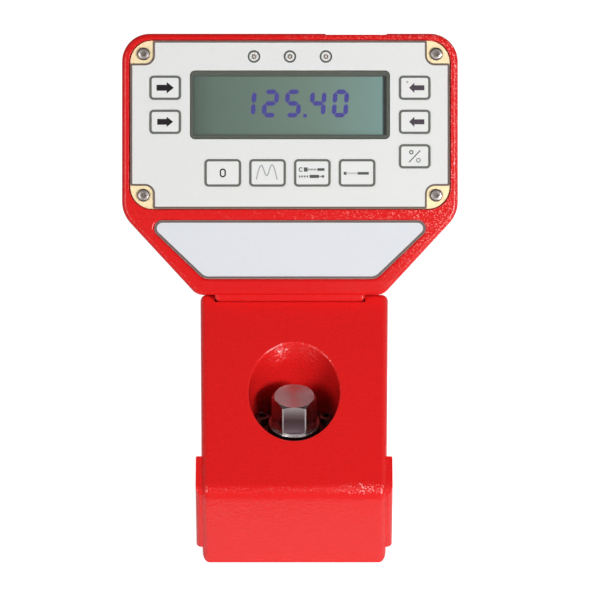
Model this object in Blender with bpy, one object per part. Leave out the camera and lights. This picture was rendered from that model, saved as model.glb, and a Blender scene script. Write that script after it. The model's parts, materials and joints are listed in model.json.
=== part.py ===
# Electronic torque tester: a cast body with a hexagon drive in a round well, and a tilted display head.
# Metres, +Z up. The origin is where the drive axis meets the bench, and the front looks along -Y.

import math

import bmesh
import bpy
from mathutils import Matrix, Vector

# Clearances
SEAT_GAP = 0.0003
SLIDE_GAP = 0.0003
OVERSHOOT = 0.002
OVERLAP = 0.0002

# Body casting
FRONT_REACH = 0.064
NOSE_HEIGHT = 0.0595
SLOPE_ANGLE = math.radians(30.4)
SLOPE_RUN = 0.1212
SEAT_LENGTH = 0.0427
BODY_FRONT_WIDTH = 0.124
BODY_TOP_WIDTH = 0.127
BODY_WALL = 0.006
NOSE_RADIUS = 0.012
SIDE_EDGE_RADIUS = 0.0035
BOTTOM_EDGE_RADIUS = 0.0065
REAR_TOP_RADIUS = 0.008
CHEEK_HEIGHT = 0.0045
CHEEK_WIDTH = 0.005
SEAT_LIP = 0.009

# Side bosses near the front
BOSS_PROUD = 0.0042
BOSS_INSET = 0.0023
BOSS_DEPTH = 0.0187
BOSS_BOTTOM = 0.0115
BOSS_EDGE_RADIUS = 0.0012

# Well and the floor that carries the transducer
WELL_RADIUS = 0.031
WELL_LIP = 0.003
WELL_WALL = 0.005
WELL_FLOOR_TOP = 0.052
WELL_FLOOR_THICKNESS = 0.012
RIB_THICKNESS = 0.005

# Base plate
PLATE_THICKNESS = 0.008
PLATE_MARGIN = 0.010
PLATE_CORNER_RADIUS = 0.008
PLATE_LEDGE = 0.012
LEDGE_HEIGHT = 0.008
PLATE_SCREW_INSET = 0.006
PLATE_SCREW_RADIUS = 0.0025
PLATE_SCREW_HEAD_RADIUS = 0.0046
PLATE_SCREW_LENGTH = 0.014
PLATE_SCREW_SOCKET = 0.0015
BENCH_BOLT_RADIUS = 0.005
BENCH_BOLT_SPACING_X = 0.056
BENCH_BOLT_SPACING_Y = 0.086

# Transducer
HEX_ACROSS_FLATS = 0.027
HEX_TOP = 0.093
HEX_FOOT = 0.072
HEX_CHAMFER_ANGLE = math.radians(30)
SHANK_RADIUS = 0.0168
FLANGE_MARGIN = 0.0004
FLANGE_THICKNESS = 0.0097
SPIGOT_RADIUS = 0.018
SPIGOT_LENGTH = 0.028
CABLE_HOLE_RADIUS = 0.0035
CABLE_HOLE_DEPTH = 0.012
SHANK_FILLET = 0.002

# Cap screws of the transducer
CAP_COUNT = 6
CAP_PITCH_RADIUS = 0.025
CAP_SCREW_RADIUS = 0.0025
CAP_HEAD_RADIUS = 0.00425
CAP_HEAD_HEIGHT = 0.005
CAP_SCREW_GRIP = 0.008
CAP_EDGE_SHARE = 0.12
SOCKET_WIDTH_SHARE = 0.95
SOCKET_DEPTH_SHARE = 0.55

# Display head, in its own frame: X across, Y into the head, Z up its face
HEAD_TILT = math.radians(35)
HEAD_OFFSET_X = -0.0029
HEAD_OVERHANG = 0.0097
HEAD_HALF_WIDTH = 0.1145
HEAD_SHOULDER_HEIGHT = 0.0576
HEAD_FOOT_HALF_WIDTH = 0.0635
HEAD_DEPTH = 0.048
HEAD_TOP_RADIUS = 0.019
HEAD_SHOULDER_RADIUS = 0.015
HEAD_FOOT_RADIUS = 0.010
HEAD_FRONT_EDGE_RADIUS = 0.003
HEAD_WALL = 0.006
HEAD_FOOT_WALL = 0.008
HEAD_FRONT_WALL = 0.009
REAR_WALL = 0.005
REAR_WALL_STEP = 0.0005
PAD_HALF_WIDTH = 0.0512
PAD_FRONT = 0.003
PAD_DEPTH = 0.038
PAD_RADIUS = 0.0035
PAD_EDGE_RADIUS = 0.0015

# Panel, overlay and what shows through them
PANEL_BOTTOM = 0.0598
PANEL_TOP_BORDER = 0.0048
PANEL_SIDE_BORDER = 0.0056
PANEL_HEIGHT = 0.1136
PANEL_RADIUS = 0.015
PANEL_RECESS = 0.002
PANEL_THICKNESS = 0.002
PANEL_LEDGE = 0.006
LEDGE_CORNER = 0.0126
LEDGE_RADIUS = 0.003
OVERLAY_THICKNESS = 0.0005
OVERLAY_MARGIN = 0.0004
NOTCH = 0.0156
NOTCH_RADIUS = 0.0054
NOTCH_POINT_RADIUS = 0.0012
PANEL_SCREW_INSET = 0.0092
PANEL_SCREW_RADIUS = 0.002
PANEL_SCREW_HEAD_RADIUS = 0.00435
PANEL_SCREW_HEAD_HEIGHT = 0.0022
PANEL_SCREW_LENGTH = 0.010
WINDOW_RADIUS = 0.0034
LED_HOLE_RADIUS = 0.0032
LED_RADIUS = 0.0015
LED_RIM_RADIUS = 0.0018

# Layout of the panel: heights are shares of PANEL_HEIGHT, widths are shares of PANEL_HALF_WIDTH
WINDOW_WIDTH_SHARE = 1.2516
WINDOW_HEIGHT_SHARE = 0.4129
WINDOW_UP_SHARE = 0.6144
LED_UP_SHARE = 0.9040
LED_PITCH_SHARE = 0.2250
SIDE_KEY_WIDTH_SHARE = 0.1919
SIDE_KEY_HEIGHT_SHARE = 0.1408
SIDE_KEY_ACROSS_SHARE = 0.7805
SIDE_KEY_TOP_SHARE = 0.7165
SIDE_KEY_MIDDLE_SHARE = 0.5123
SIDE_KEY_LOW_SHARE = 0.3055
ROW_KEY_WIDTH_SHARE = 0.2231
ROW_KEY_HEIGHT_SHARE = 0.1602
ROW_KEY_UP_SHARE = 0.2060
ROW_KEY_PITCH_SHARE = 0.2801

# Keys
KEY_RADIUS = 0.002
KEY_FLANGE = 0.0008
KEY_FLANGE_THICKNESS = 0.0012
KEY_STEM_RADIUS = 0.002
KEY_TRAVEL = 0.0004

# Boards
KEY_BOARD_FRONT = 0.0065
BOARD_THICKNESS = 0.0016
BOARD_MARGIN = 0.010
BOARD_CORNER_GAP = 0.001
DOME_RADIUS = 0.003
DOME_HEIGHT = 0.0004
MAIN_BOARD_FRONT = 0.0220
PILLAR_RADIUS = 0.003
PILLAR_NECK_RADIUS = 0.0018
PILLAR_INSET = 0.006
PILLAR_END = 0.002
BATTERY_WIDTH = 0.080
BATTERY_HEIGHT = 0.046
BATTERY_DEPTH = 0.015
BATTERY_BOTTOM_Z = 0.030
BATTERY_RADIUS = 0.003

# Label plate
LABEL_INSET = 0.0112
LABEL_TOP_GAP = 0.0098
LABEL_RECESS = 0.0016
LABEL_THICKNESS = 0.001
LABEL_RADIUS = 0.003

# Head bolts
HEAD_BOLT_X = 0.035
HEAD_BOLT_DEPTH = 0.022
HEAD_BOLT_RADIUS = 0.004
HEAD_BOLT_HEAD_RADIUS = 0.0065
HEAD_BOLT_HEAD_HEIGHT = 0.008
HEAD_BOLT_BITE = 0.006

# Signal cable and its passage through the seat
PASSAGE_X = 0.012
PASSAGE_RADIUS = 0.004
PASSAGE_DEPTH = 0.021
CABLE_RADIUS = 0.0015
CABLE_CLEARANCE = 0.003
PLUG_WIDTH = 0.010
PLUG_HEIGHT = 0.007
PLUG_THICKNESS = 0.005
PLUG_RADIUS = 0.001

# Sockets and switch
PORT_RECESS_X = 0.0448
PORT_RECESS_WIDTH = 0.0422
PORT_RECESS_FRONT = 0.020
PORT_RECESS_HEIGHT = 0.006
PORT_RECESS_RADIUS = 0.002
PORT_FORWARD = 0.003
PORT_FLANGE_WIDTH = 0.031
PORT_FLANGE_DEPTH = 0.0125
PORT_FLANGE_THICKNESS = 0.0012
PORT_FLANGE_RADIUS = 0.002
PORT_SHELL_WIDTH = 0.0170
PORT_SHELL_DEPTH = 0.0084
PORT_SHELL_HEIGHT = 0.0030
PORT_SHELL_RADIUS = 0.0015
PORT_SHELL_LEAN = 0.0012
PORT_SUNK = 0.005
REAR_FITTING_X = -0.060
INLET_Z = 0.085
INLET_RADIUS = 0.0055
INLET_FLANGE_RADIUS = 0.0075
INLET_FLANGE_THICKNESS = 0.0012
INLET_BORE_RADIUS = 0.0035
INLET_BORE_DEPTH = 0.007
INLET_PIN_RADIUS = 0.001
INLET_BODY_DEPTH = 0.004
SWITCH_Z = 0.118
SWITCH_WIDTH = 0.0125
SWITCH_HEIGHT = 0.0185
SWITCH_FLANGE = 0.00125
SWITCH_RIM = 0.0015
SWITCH_RIM_RADIUS = 0.001
SWITCH_CORNER_RADIUS = 0.0005
SWITCH_DEPTH = 0.014
SWITCH_FLOOR = 0.002
ROCKER_WIDTH = 0.0086
ROCKER_HALF_LENGTH = 0.0065
ROCKER_CROWN = 0.0045
ROCKER_PIVOT_DEPTH = 0.0045
ROCKER_BELLY = 0.0042
ROCKER_END_LEAN = 0.0002
ROCKER_SWING = math.radians(10)

# Worked out from the sizes above
PAD_HEIGHT = CHEEK_HEIGHT
REAR_REACH = SLOPE_RUN - FRONT_REACH + SEAT_LENGTH * math.cos(HEAD_TILT)
INTO_HEAD = Vector((math.cos(HEAD_TILT), -math.sin(HEAD_TILT)))
UP_HEAD = Vector((math.sin(HEAD_TILT), math.cos(HEAD_TILT)))
RIDGE = Vector((SLOPE_RUN - FRONT_REACH, NOSE_HEIGHT + SLOPE_RUN * math.tan(SLOPE_ANGLE)))
HEAD_CORNER = RIDGE - INTO_HEAD * HEAD_OVERHANG + UP_HEAD * (PAD_HEIGHT + SEAT_GAP)
PANEL_TOP = PANEL_BOTTOM + PANEL_HEIGHT
HEAD_HEIGHT = PANEL_TOP + PANEL_TOP_BORDER
PANEL_HALF_WIDTH = HEAD_HALF_WIDTH - PANEL_SIDE_BORDER
PANEL_BACK = PANEL_RECESS + PANEL_THICKNESS
OVERLAY_FRONT = PANEL_RECESS - SEAT_GAP - OVERLAY_THICKNESS
LEDGE_FRONT = PANEL_BACK + SEAT_GAP
REAR_WALL_FRONT = HEAD_DEPTH - REAR_WALL
LOWER_WALL_FRONT = REAR_WALL_FRONT - REAR_WALL_STEP
BASE_CAVITY_FLOOR = PLATE_THICKNESS + SEAT_GAP + LEDGE_HEIGHT
SCREW_X = PANEL_HALF_WIDTH - PANEL_SCREW_INSET
SCREW_ROWS = (PANEL_BOTTOM + PANEL_SCREW_INSET, PANEL_TOP - PANEL_SCREW_INSET)


# Outlines, as lists of points in a plane

def corner_arc(before, here, after, radius, steps):
    to_before = (before - here).normalized()
    to_after = (after - here).normalized()
    half = to_before.angle(to_after) / 2
    reach = radius / math.tan(half)
    centre = here + (to_before + to_after).normalized() * (radius / math.sin(half))
    first = here + to_before * reach - centre
    turn = math.pi - 2 * half
    cross = (here - before).cross(after - here)
    side = 1 if cross > 0 else -1
    return [centre + Matrix.Rotation(side * turn * k / steps, 2) @ first for k in range(steps + 1)]


def rounded(corners, radii, steps=4):
    points = []
    for i, corner in enumerate(corners):
        if radii[i] == 0:
            points.append(Vector(corner))
            continue
        before = Vector(corners[i - 1])
        after = Vector(corners[(i + 1) % len(corners)])
        points += corner_arc(before, Vector(corner), after, radii[i], steps)
    return points


def inset(corners, distances):
    # Each edge of a counter-clockwise outline moves inwards by its own distance
    lines = []
    for i, corner in enumerate(corners):
        start = Vector(corner)
        along = (Vector(corners[(i + 1) % len(corners)]) - start).normalized()
        inward = Vector((-along.y, along.x))
        lines.append((start + inward * distances[i], along))
    moved = []
    for i, (start, along) in enumerate(lines):
        other_start, other_along = lines[i - 1]
        reach = (other_start - start).cross(other_along) / along.cross(other_along)
        moved.append(start + along * reach)
    return moved


def rectangle(x0, z0, x1, z1):
    return [(x0, z0), (x1, z0), (x1, z1), (x0, z1)]


def rounded_rectangle(x0, z0, x1, z1, radius, steps=4):
    return rounded(rectangle(x0, z0, x1, z1), [radius] * 4, steps)


def circle(x, z, radius, steps=20):
    turns = [2 * math.pi * k / steps for k in range(steps)]
    return [Vector((x + radius * math.cos(turn), z + radius * math.sin(turn))) for turn in turns]


def notched_panel(margin, notch, outer_radius, inner_radius):
    # The panel's outline with a square bite at each corner
    x1 = PANEL_HALF_WIDTH - margin
    z0 = PANEL_BOTTOM + margin
    z1 = PANEL_TOP - margin
    x2 = x1 - notch
    z2 = z0 + notch
    z3 = z1 - notch
    corners = [(-x2, z0), (x2, z0), (x2, z2), (x1, z2), (x1, z3), (x2, z3),
               (x2, z1), (-x2, z1), (-x2, z3), (-x1, z3), (-x1, z2), (-x2, z2)]
    radii = [outer_radius, outer_radius, inner_radius, outer_radius, outer_radius, inner_radius] * 2
    return rounded(corners, radii, 3)


# Solids

def material(name, colour, roughness, metallic=0.0):
    made = bpy.data.materials.new(name)
    made.use_nodes = True
    shader = made.node_tree.nodes["Principled BSDF"]
    shader.inputs["Base Color"].default_value = (*colour, 1.0)
    shader.inputs["Roughness"].default_value = roughness
    shader.inputs["Metallic"].default_value = metallic
    return made


def add_object(name, mesh_source, finish=None, smooth=30):
    bmesh.ops.recalc_face_normals(mesh_source, faces=mesh_source.faces)
    mesh = bpy.data.meshes.new(name)
    mesh_source.to_mesh(mesh)
    mesh_source.free()
    mesh.shade_smooth()
    mesh.set_sharp_from_angle(angle=math.radians(smooth))
    made = bpy.data.objects.new(name, mesh)
    bpy.context.scene.collection.objects.link(made)
    if finish:
        mesh.materials.append(finish)
    return made


def to_space(point, axis, height):
    if axis == "X":
        return Vector((height, point[0], point[1]))
    if axis == "Y":
        return Vector((point[0], height, point[1]))
    return Vector((point[0], point[1], height))


def sweep_outline(source, outline, axis, start, end):
    first = [source.verts.new(to_space(point, axis, start)) for point in outline]
    face = source.faces.new(first)
    grown = bmesh.ops.extrude_face_region(source, geom=[face])
    moved = [part for part in grown["geom"] if isinstance(part, bmesh.types.BMVert)]
    travel = to_space((0, 0), axis, end - start)
    bmesh.ops.translate(source, verts=moved, vec=travel)


def prism(name, outline, axis, start, end, finish=None):
    source = bmesh.new()
    sweep_outline(source, outline, axis, start, end)
    return add_object(name, source, finish)


def prisms(name, outlines, axis, start, end):
    source = bmesh.new()
    for outline in outlines:
        sweep_outline(source, outline, axis, start, end)
    return add_object(name, source)


def turned(name, profile, finish=None, steps=48, closed=False):
    # A profile of (radius, height) points turned about Z
    source = bmesh.new()
    points = [source.verts.new((radius, 0, height)) for radius, height in profile]
    edges = [source.edges.new(pair) for pair in zip(points, points[1:])]
    if closed:
        edges.append(source.edges.new((points[-1], points[0])))
    bmesh.ops.spin(source, geom=points + edges, axis=(0, 0, 1), cent=(0, 0, 0),
                   angle=2 * math.pi, steps=steps, use_merge=True)
    bmesh.ops.remove_doubles(source, verts=source.verts, dist=0.000001)
    return add_object(name, source, finish)


def bevelled(body, width, segments, angle=40):
    bevel = body.modifiers.new("edge", "BEVEL")
    bevel.width = width
    bevel.segments = segments
    bevel.limit_method = "ANGLE"
    bevel.angle_limit = math.radians(angle)
    bevel.use_clamp_overlap = True
    return body


def boolean(body, tool, operation):
    change = body.modifiers.new(tool.name, "BOOLEAN")
    change.operation = operation
    change.object = tool
    tool.hide_render = True
    tool.display_type = "WIRE"
    return body


def cut(body, *tools):
    for tool in tools:
        boolean(body, tool, "DIFFERENCE")
    return body


def join(body, *tools):
    for tool in tools:
        boolean(body, tool, "UNION")
    return body


def turn_into_head(*pieces):
    for piece in pieces:
        piece.parent = head_frame
    return pieces[0]


# Body casting

def slope_height(y):
    return NOSE_HEIGHT + (y + FRONT_REACH) * math.tan(SLOPE_ANGLE)


def body_corners():
    rear_seat = RIDGE + INTO_HEAD * SEAT_LENGTH
    return [(-FRONT_REACH, 0), (REAR_REACH, 0), rear_seat, RIDGE, (-FRONT_REACH, NOSE_HEIGHT)]


def taper_sides(source):
    # The sides open slightly from the front face to the ridge
    gain = (BODY_TOP_WIDTH / BODY_FRONT_WIDTH - 1) / SLOPE_RUN
    for point in source.verts:
        point.co.x *= 1 + gain * (point.co.y + FRONT_REACH)


def weigh_edges(source):
    # Full rounding along the foot, less on every other edge of the two sides
    weight = source.edges.layers.float.new("bevel_weight_edge")
    for edge in source.edges:
        a, b = (point.co for point in edge.verts)
        if a.x * b.x > 0:
            at_foot = max(a.z, b.z) < OVERLAP
            edge[weight] = 1.0 if at_foot else SIDE_EDGE_RADIUS / BOTTOM_EDGE_RADIUS


def body_outside():
    corners = inset(body_corners(), [0, 0, -CHEEK_HEIGHT, 0, 0])
    radii = [0, 0, REAR_TOP_RADIUS, SIDE_EDGE_RADIUS, NOSE_RADIUS]
    outline = rounded(corners, radii, 5)
    half = BODY_FRONT_WIDTH / 2
    source = bmesh.new()
    sweep_outline(source, outline, "X", -half, half)
    taper_sides(source)
    weigh_edges(source)
    body = add_object("body_casting", source, painted_red)
    bevel = body.modifiers.new("edges", "BEVEL")
    bevel.width = BOTTOM_EDGE_RADIUS
    bevel.segments = 3
    bevel.limit_method = "WEIGHT"
    return body


def side_boss(name, side):
    front = -FRONT_REACH + BOSS_INSET
    rear = front + BOSS_DEPTH
    drop = BOSS_INSET / math.cos(SLOPE_ANGLE)
    corners = [(front, BOSS_BOTTOM), (rear, BOSS_BOTTOM),
               (rear, slope_height(rear) - drop), (front, slope_height(front) - drop)]
    outline = rounded(corners, [0, 0, 0, NOSE_RADIUS - BOSS_INSET], 5)
    inner = side * (BODY_FRONT_WIDTH / 2 - BODY_WALL / 2)
    outer = side * (BODY_FRONT_WIDTH / 2 + BOSS_PROUD)
    return bevelled(prism(name, outline, "X", inner, outer), BOSS_EDGE_RADIUS, 2, 60)


def seat_slot():
    # The seat lies between the two cheeks and a lip at its rear end
    half = BODY_TOP_WIDTH / 2 - CHEEK_WIDTH
    corners = body_corners()
    rear_seat, ridge = Vector(corners[2]), Vector(corners[3])
    along = (rear_seat - ridge).normalized()
    low_front = ridge - along * HEAD_OVERHANG
    low_rear = rear_seat - along * SEAT_LIP
    lift = UP_HEAD * (CHEEK_HEIGHT + OVERSHOOT)
    outline = [low_front, low_rear, low_rear + lift, low_front + lift]
    return prism("seat_slot", outline, "X", -half, half)


def well_tube():
    outer = WELL_RADIUS + WELL_WALL
    bottom = WELL_FLOOR_TOP - WELL_FLOOR_THICKNESS
    top = slope_height(outer) + OVERSHOOT
    return turned("well_tube", [(0, bottom), (outer, bottom), (outer, top), (0, top)], steps=32)


def ribs():
    half = RIB_THICKNESS / 2
    bottom = WELL_FLOOR_TOP - WELL_FLOOR_THICKNESS
    top = slope_height(REAR_REACH)
    wide = BODY_TOP_WIDTH / 2
    across = prism("rib_across", rectangle(-wide, -half, wide, half), "Z", bottom, top)
    along = prism("rib_along", rectangle(-half, -FRONT_REACH, half, REAR_REACH), "Z", bottom, top)
    return across, along


def body_cavity():
    corners = body_corners()
    corners[0] = (-FRONT_REACH, BASE_CAVITY_FLOOR)
    corners[1] = (REAR_REACH, BASE_CAVITY_FLOOR)
    inner = inset(corners, [0, BODY_WALL, BODY_WALL, BODY_WALL, BODY_WALL])
    half = BODY_FRONT_WIDTH / 2 - BODY_WALL
    cavity = prism("body_cavity", inner, "X", -half, half)
    return cut(cavity, well_tube(), *ribs())


def plate_edges(shrink):
    half = BODY_FRONT_WIDTH / 2 - PLATE_MARGIN - shrink
    front = -FRONT_REACH + PLATE_MARGIN + shrink
    rear = REAR_REACH - PLATE_MARGIN - shrink
    return -half, front, half, rear


def plate_pocket():
    outline = rounded_rectangle(*plate_edges(-SLIDE_GAP), PLATE_CORNER_RADIUS)
    return prism("plate_pocket", outline, "Z", -OVERSHOOT, PLATE_THICKNESS + SEAT_GAP)


def base_opening():
    outline = rounded_rectangle(*plate_edges(PLATE_LEDGE), PLATE_CORNER_RADIUS)
    return prism("base_opening", outline, "Z", PLATE_THICKNESS - OVERSHOOT, BASE_CAVITY_FLOOR + OVERSHOOT)


def slope_ring(source, radius, offset, steps):
    turns = [2 * math.pi * k / steps for k in range(steps)]
    ring = []
    for turn in turns:
        x = radius * math.cos(turn)
        y = radius * math.sin(turn)
        ring.append(source.verts.new((x, y, slope_height(y) + offset)))
    return ring


def close_ring(source, ring):
    return [source.edges.new((ring[k - 1], ring[k])) for k in range(len(ring))]


def well_bore(steps=56):
    # An upright bore whose lip is rounded where it meets the slope
    source = bmesh.new()
    floor = [source.verts.new((*point, WELL_FLOOR_TOP)) for point in circle(0, 0, WELL_RADIUS, steps)]
    rings = [floor, slope_ring(source, WELL_RADIUS, -WELL_LIP, steps)]
    for degrees in (25, 50, 75):
        turn = math.radians(degrees)
        radius = WELL_RADIUS + WELL_LIP * (1 - math.cos(turn))
        rings.append(slope_ring(source, radius, -WELL_LIP * (1 - math.sin(turn)), steps))
    rings.append(slope_ring(source, radius, 4 * WELL_LIP, steps))
    loops = [close_ring(source, ring) for ring in rings]
    for low, high in zip(loops, loops[1:]):
        bmesh.ops.bridge_loops(source, edges=low + high)
    source.faces.new(rings[0])
    source.faces.new(rings[-1])
    return add_object("well_bore", source)


def cap_places():
    turns = [math.radians(30 + 360 * k / CAP_COUNT) for k in range(CAP_COUNT)]
    return [(CAP_PITCH_RADIUS * math.cos(turn), CAP_PITCH_RADIUS * math.sin(turn)) for turn in turns]


def floor_holes():
    holes = [circle(0, 0, SPIGOT_RADIUS + 2 * SLIDE_GAP, 40)]
    holes += [circle(x, y, CAP_SCREW_RADIUS + SLIDE_GAP, 12) for x, y in cap_places()]
    bottom = WELL_FLOOR_TOP - WELL_FLOOR_THICKNESS - OVERSHOOT
    return prisms("floor_holes", holes, "Z", bottom, WELL_FLOOR_TOP + OVERSHOOT)


def plate_screw_places():
    x0, y0, x1, y1 = plate_edges(PLATE_SCREW_INSET)
    return [(x, y) for x in (x0, x1) for y in (y0, y1)]


def plate_screw_holes(start, end):
    holes = [circle(x, y, PLATE_SCREW_RADIUS + SLIDE_GAP, 16) for x, y in plate_screw_places()]
    return prisms("plate_screw_holes", holes, "Z", start, end)


def seat_holes():
    # Bolt holes and the cable passage, through the seat and into the foot of the head
    below = -PAD_HEIGHT - SEAT_GAP - BODY_WALL - OVERSHOOT
    holes = [circle(side * HEAD_BOLT_X, HEAD_BOLT_DEPTH, HEAD_BOLT_RADIUS + SLIDE_GAP) for side in (-1, 1)]
    passage = [circle(PASSAGE_X, PASSAGE_DEPTH, PASSAGE_RADIUS, 16)]
    bolts = prisms("head_bolt_holes", holes, "Z", below, HEAD_BOLT_BITE + SEAT_GAP)
    through = prisms("cable_passage", passage, "Z", below, HEAD_WALL + 2 * OVERSHOOT)
    turn_into_head(bolts, through)
    return bolts, through


def make_body():
    body = body_outside()
    join(body, side_boss("left_boss", -1), side_boss("right_boss", 1))
    cut(body, seat_slot(), body_cavity(), plate_pocket(), base_opening(), well_bore(), floor_holes())
    cut(body, plate_screw_holes(PLATE_THICKNESS, BASE_CAVITY_FLOOR + OVERSHOOT), *seat_holes())
    return body


# Base plate and its screws

def screw_sink(x, y):
    head = PLATE_SCREW_HEAD_RADIUS + SLIDE_GAP
    shank = PLATE_SCREW_RADIUS + SLIDE_GAP
    top = PLATE_THICKNESS + OVERSHOOT
    profile = [(0, -OVERSHOOT), (head, -OVERSHOOT), (head, SEAT_GAP),
               (shank, SEAT_GAP + screw_cone_height()), (shank, top), (0, top)]
    sink = turned("screw_sink", profile, steps=18)
    sink.location = (x, y, 0)
    return sink


def screw_cone_height():
    return PLATE_SCREW_HEAD_RADIUS - PLATE_SCREW_RADIUS


def make_base_plate():
    outline = rounded_rectangle(*plate_edges(0), PLATE_CORNER_RADIUS)
    plate = prism("base_plate", outline, "Z", 0, PLATE_THICKNESS, zinc_steel)
    middle = (REAR_REACH - FRONT_REACH) / 2
    half_x = BENCH_BOLT_SPACING_X / 2
    half_y = BENCH_BOLT_SPACING_Y / 2
    places = [(x, middle + y) for x in (-half_x, half_x) for y in (-half_y, half_y)]
    holes = [circle(x, y, BENCH_BOLT_RADIUS) for x, y in places]
    cut(plate, prisms("bench_bolt_holes", holes, "Z", -OVERSHOOT, PLATE_THICKNESS + OVERSHOOT))
    cut(plate, *[screw_sink(x, y) for x, y in plate_screw_places()])
    return plate


def make_plate_screws():
    socket = PLATE_SCREW_SOCKET
    profile = [(0, SEAT_GAP + socket), (socket, SEAT_GAP + socket), (socket, SEAT_GAP),
               (PLATE_SCREW_HEAD_RADIUS, SEAT_GAP), (PLATE_SCREW_RADIUS, SEAT_GAP + screw_cone_height()),
               (PLATE_SCREW_RADIUS, PLATE_SCREW_LENGTH), (0, PLATE_SCREW_LENGTH)]
    for number, (x, y) in enumerate(plate_screw_places(), 1):
        screw = turned("base_screw_%d" % number, profile, bright_steel, 16)
        screw.location = (x, y, 0)


# Transducer

def hex_outline(across_flats):
    radius = across_flats / math.sqrt(3)
    return circle(0, 0, radius, 6)


def make_transducer():
    chamfer_radius = HEX_ACROSS_FLATS / 2
    drop = (SHANK_RADIUS - chamfer_radius) * math.tan(HEX_CHAMFER_ANGLE)
    flange_bottom = WELL_FLOOR_TOP + SEAT_GAP
    flange_top = flange_bottom + FLANGE_THICKNESS
    flange_radius = WELL_RADIUS - FLANGE_MARGIN
    spigot_bottom = WELL_FLOOR_TOP - SPIGOT_LENGTH
    hole_top = spigot_bottom + CABLE_HOLE_DEPTH
    hollow = SHANK_FILLET * (1 - math.cos(math.radians(45)))
    profile = [(0, HEX_TOP), (chamfer_radius, HEX_TOP), (SHANK_RADIUS, HEX_TOP - drop),
               (SHANK_RADIUS, flange_top + SHANK_FILLET), (SHANK_RADIUS + hollow, flange_top + hollow),
               (SHANK_RADIUS + SHANK_FILLET, flange_top),
               (flange_radius, flange_top), (flange_radius, flange_bottom),
               (SPIGOT_RADIUS, flange_bottom), (SPIGOT_RADIUS, spigot_bottom),
               (CABLE_HOLE_RADIUS, spigot_bottom), (CABLE_HOLE_RADIUS, hole_top), (0, hole_top)]
    transducer = turned("transducer", profile, bright_steel, 40)
    outside = prism("hex_outside", circle(0, 0, 2 * SHANK_RADIUS, 24), "Z", HEX_FOOT, HEX_TOP + OVERSHOOT)
    flats = hex_outline(HEX_ACROSS_FLATS)
    across = prism("hex_inside", flats, "Z", HEX_FOOT - OVERSHOOT, HEX_TOP + 2 * OVERSHOOT)
    cut(transducer, cut(outside, across))
    holes = [circle(x, y, CAP_SCREW_RADIUS + SLIDE_GAP, 12) for x, y in cap_places()]
    cut(transducer, prisms("flange_holes", holes, "Z", flange_bottom - OVERSHOOT, flange_top + OVERSHOOT))
    return transducer


def cap_screw(name, radius, length, head_radius, head_height, finish):
    # Head up from Z = 0, shank down, with a hexagon socket
    edge = head_height * CAP_EDGE_SHARE
    profile = [(0, -length), (radius, -length), (radius, 0), (head_radius, 0),
               (head_radius, head_height - edge), (head_radius - edge, head_height), (0, head_height)]
    screw = turned(name, profile, finish, 14)
    bottom = head_height * (1 - SOCKET_DEPTH_SHARE)
    flats = hex_outline(head_radius * SOCKET_WIDTH_SHARE)
    socket = prism(name + "_socket", flats, "Z", bottom, head_height + OVERSHOOT)
    socket.parent = screw
    return cut(screw, socket)


def make_transducer_screws():
    top = WELL_FLOOR_TOP + 2 * SEAT_GAP + FLANGE_THICKNESS
    length = FLANGE_THICKNESS + CAP_SCREW_GRIP
    for number, (x, y) in enumerate(cap_places(), 1):
        screw = cap_screw("transducer_screw_%d" % number, CAP_SCREW_RADIUS, length,
                          CAP_HEAD_RADIUS, CAP_HEAD_HEIGHT, dark_steel)
        screw.location = (x, y, top)


# Display head

def head_corners():
    wide = HEAD_HALF_WIDTH
    foot = HEAD_FOOT_HALF_WIDTH
    return [(-foot, 0), (foot, 0), (wide, HEAD_SHOULDER_HEIGHT), (wide, HEAD_HEIGHT),
            (-wide, HEAD_HEIGHT), (-wide, HEAD_SHOULDER_HEIGHT)]


def head_radii(less):
    radii = (HEAD_FOOT_RADIUS, HEAD_SHOULDER_RADIUS, HEAD_TOP_RADIUS)
    foot, shoulder, top = (max(radius - less, 0.001) for radius in radii)
    return [foot, foot, shoulder, top, top, shoulder]


def head_outline(less):
    return rounded(inset(head_corners(), [less] * 6), head_radii(less), 5)


def head_pad():
    half = PAD_HALF_WIDTH
    corners = rectangle(-half, -PAD_HEIGHT, half, HEAD_WALL / 2)
    outline = rounded(corners, [PAD_RADIUS, PAD_RADIUS, 0, 0], 3)
    pad = prism("head_pad", outline, "Y", PAD_FRONT, PAD_FRONT + PAD_DEPTH)
    return bevelled(pad, PAD_EDGE_RADIUS, 2, 60)


def panel_pocket():
    outline = rounded_rectangle(-PANEL_HALF_WIDTH - SLIDE_GAP, PANEL_BOTTOM - SLIDE_GAP,
                                PANEL_HALF_WIDTH + SLIDE_GAP, PANEL_TOP + SLIDE_GAP, PANEL_RADIUS, 6)
    return prism("panel_pocket", outline, "Y", -OVERSHOOT, LEDGE_FRONT)


def head_cavity():
    outline = notched_panel(PANEL_LEDGE, LEDGE_CORNER, LEDGE_RADIUS, LEDGE_RADIUS)
    return prism("head_cavity", outline, "Y", LEDGE_FRONT - OVERLAP, REAR_WALL_FRONT)


def lower_cavity():
    top = PANEL_BOTTOM + 2 * PANEL_LEDGE
    walls = [HEAD_FOOT_WALL, HEAD_WALL, HEAD_WALL, HEAD_HEIGHT - top, HEAD_WALL, HEAD_WALL]
    foot = HEAD_FOOT_RADIUS - HEAD_WALL / 2
    shoulder = HEAD_SHOULDER_RADIUS - HEAD_WALL
    outline = rounded(inset(head_corners(), walls), [foot, foot, shoulder, 0, 0, shoulder], 3)
    return prism("lower_cavity", outline, "Y", HEAD_FRONT_WALL, LOWER_WALL_FRONT)


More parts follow.
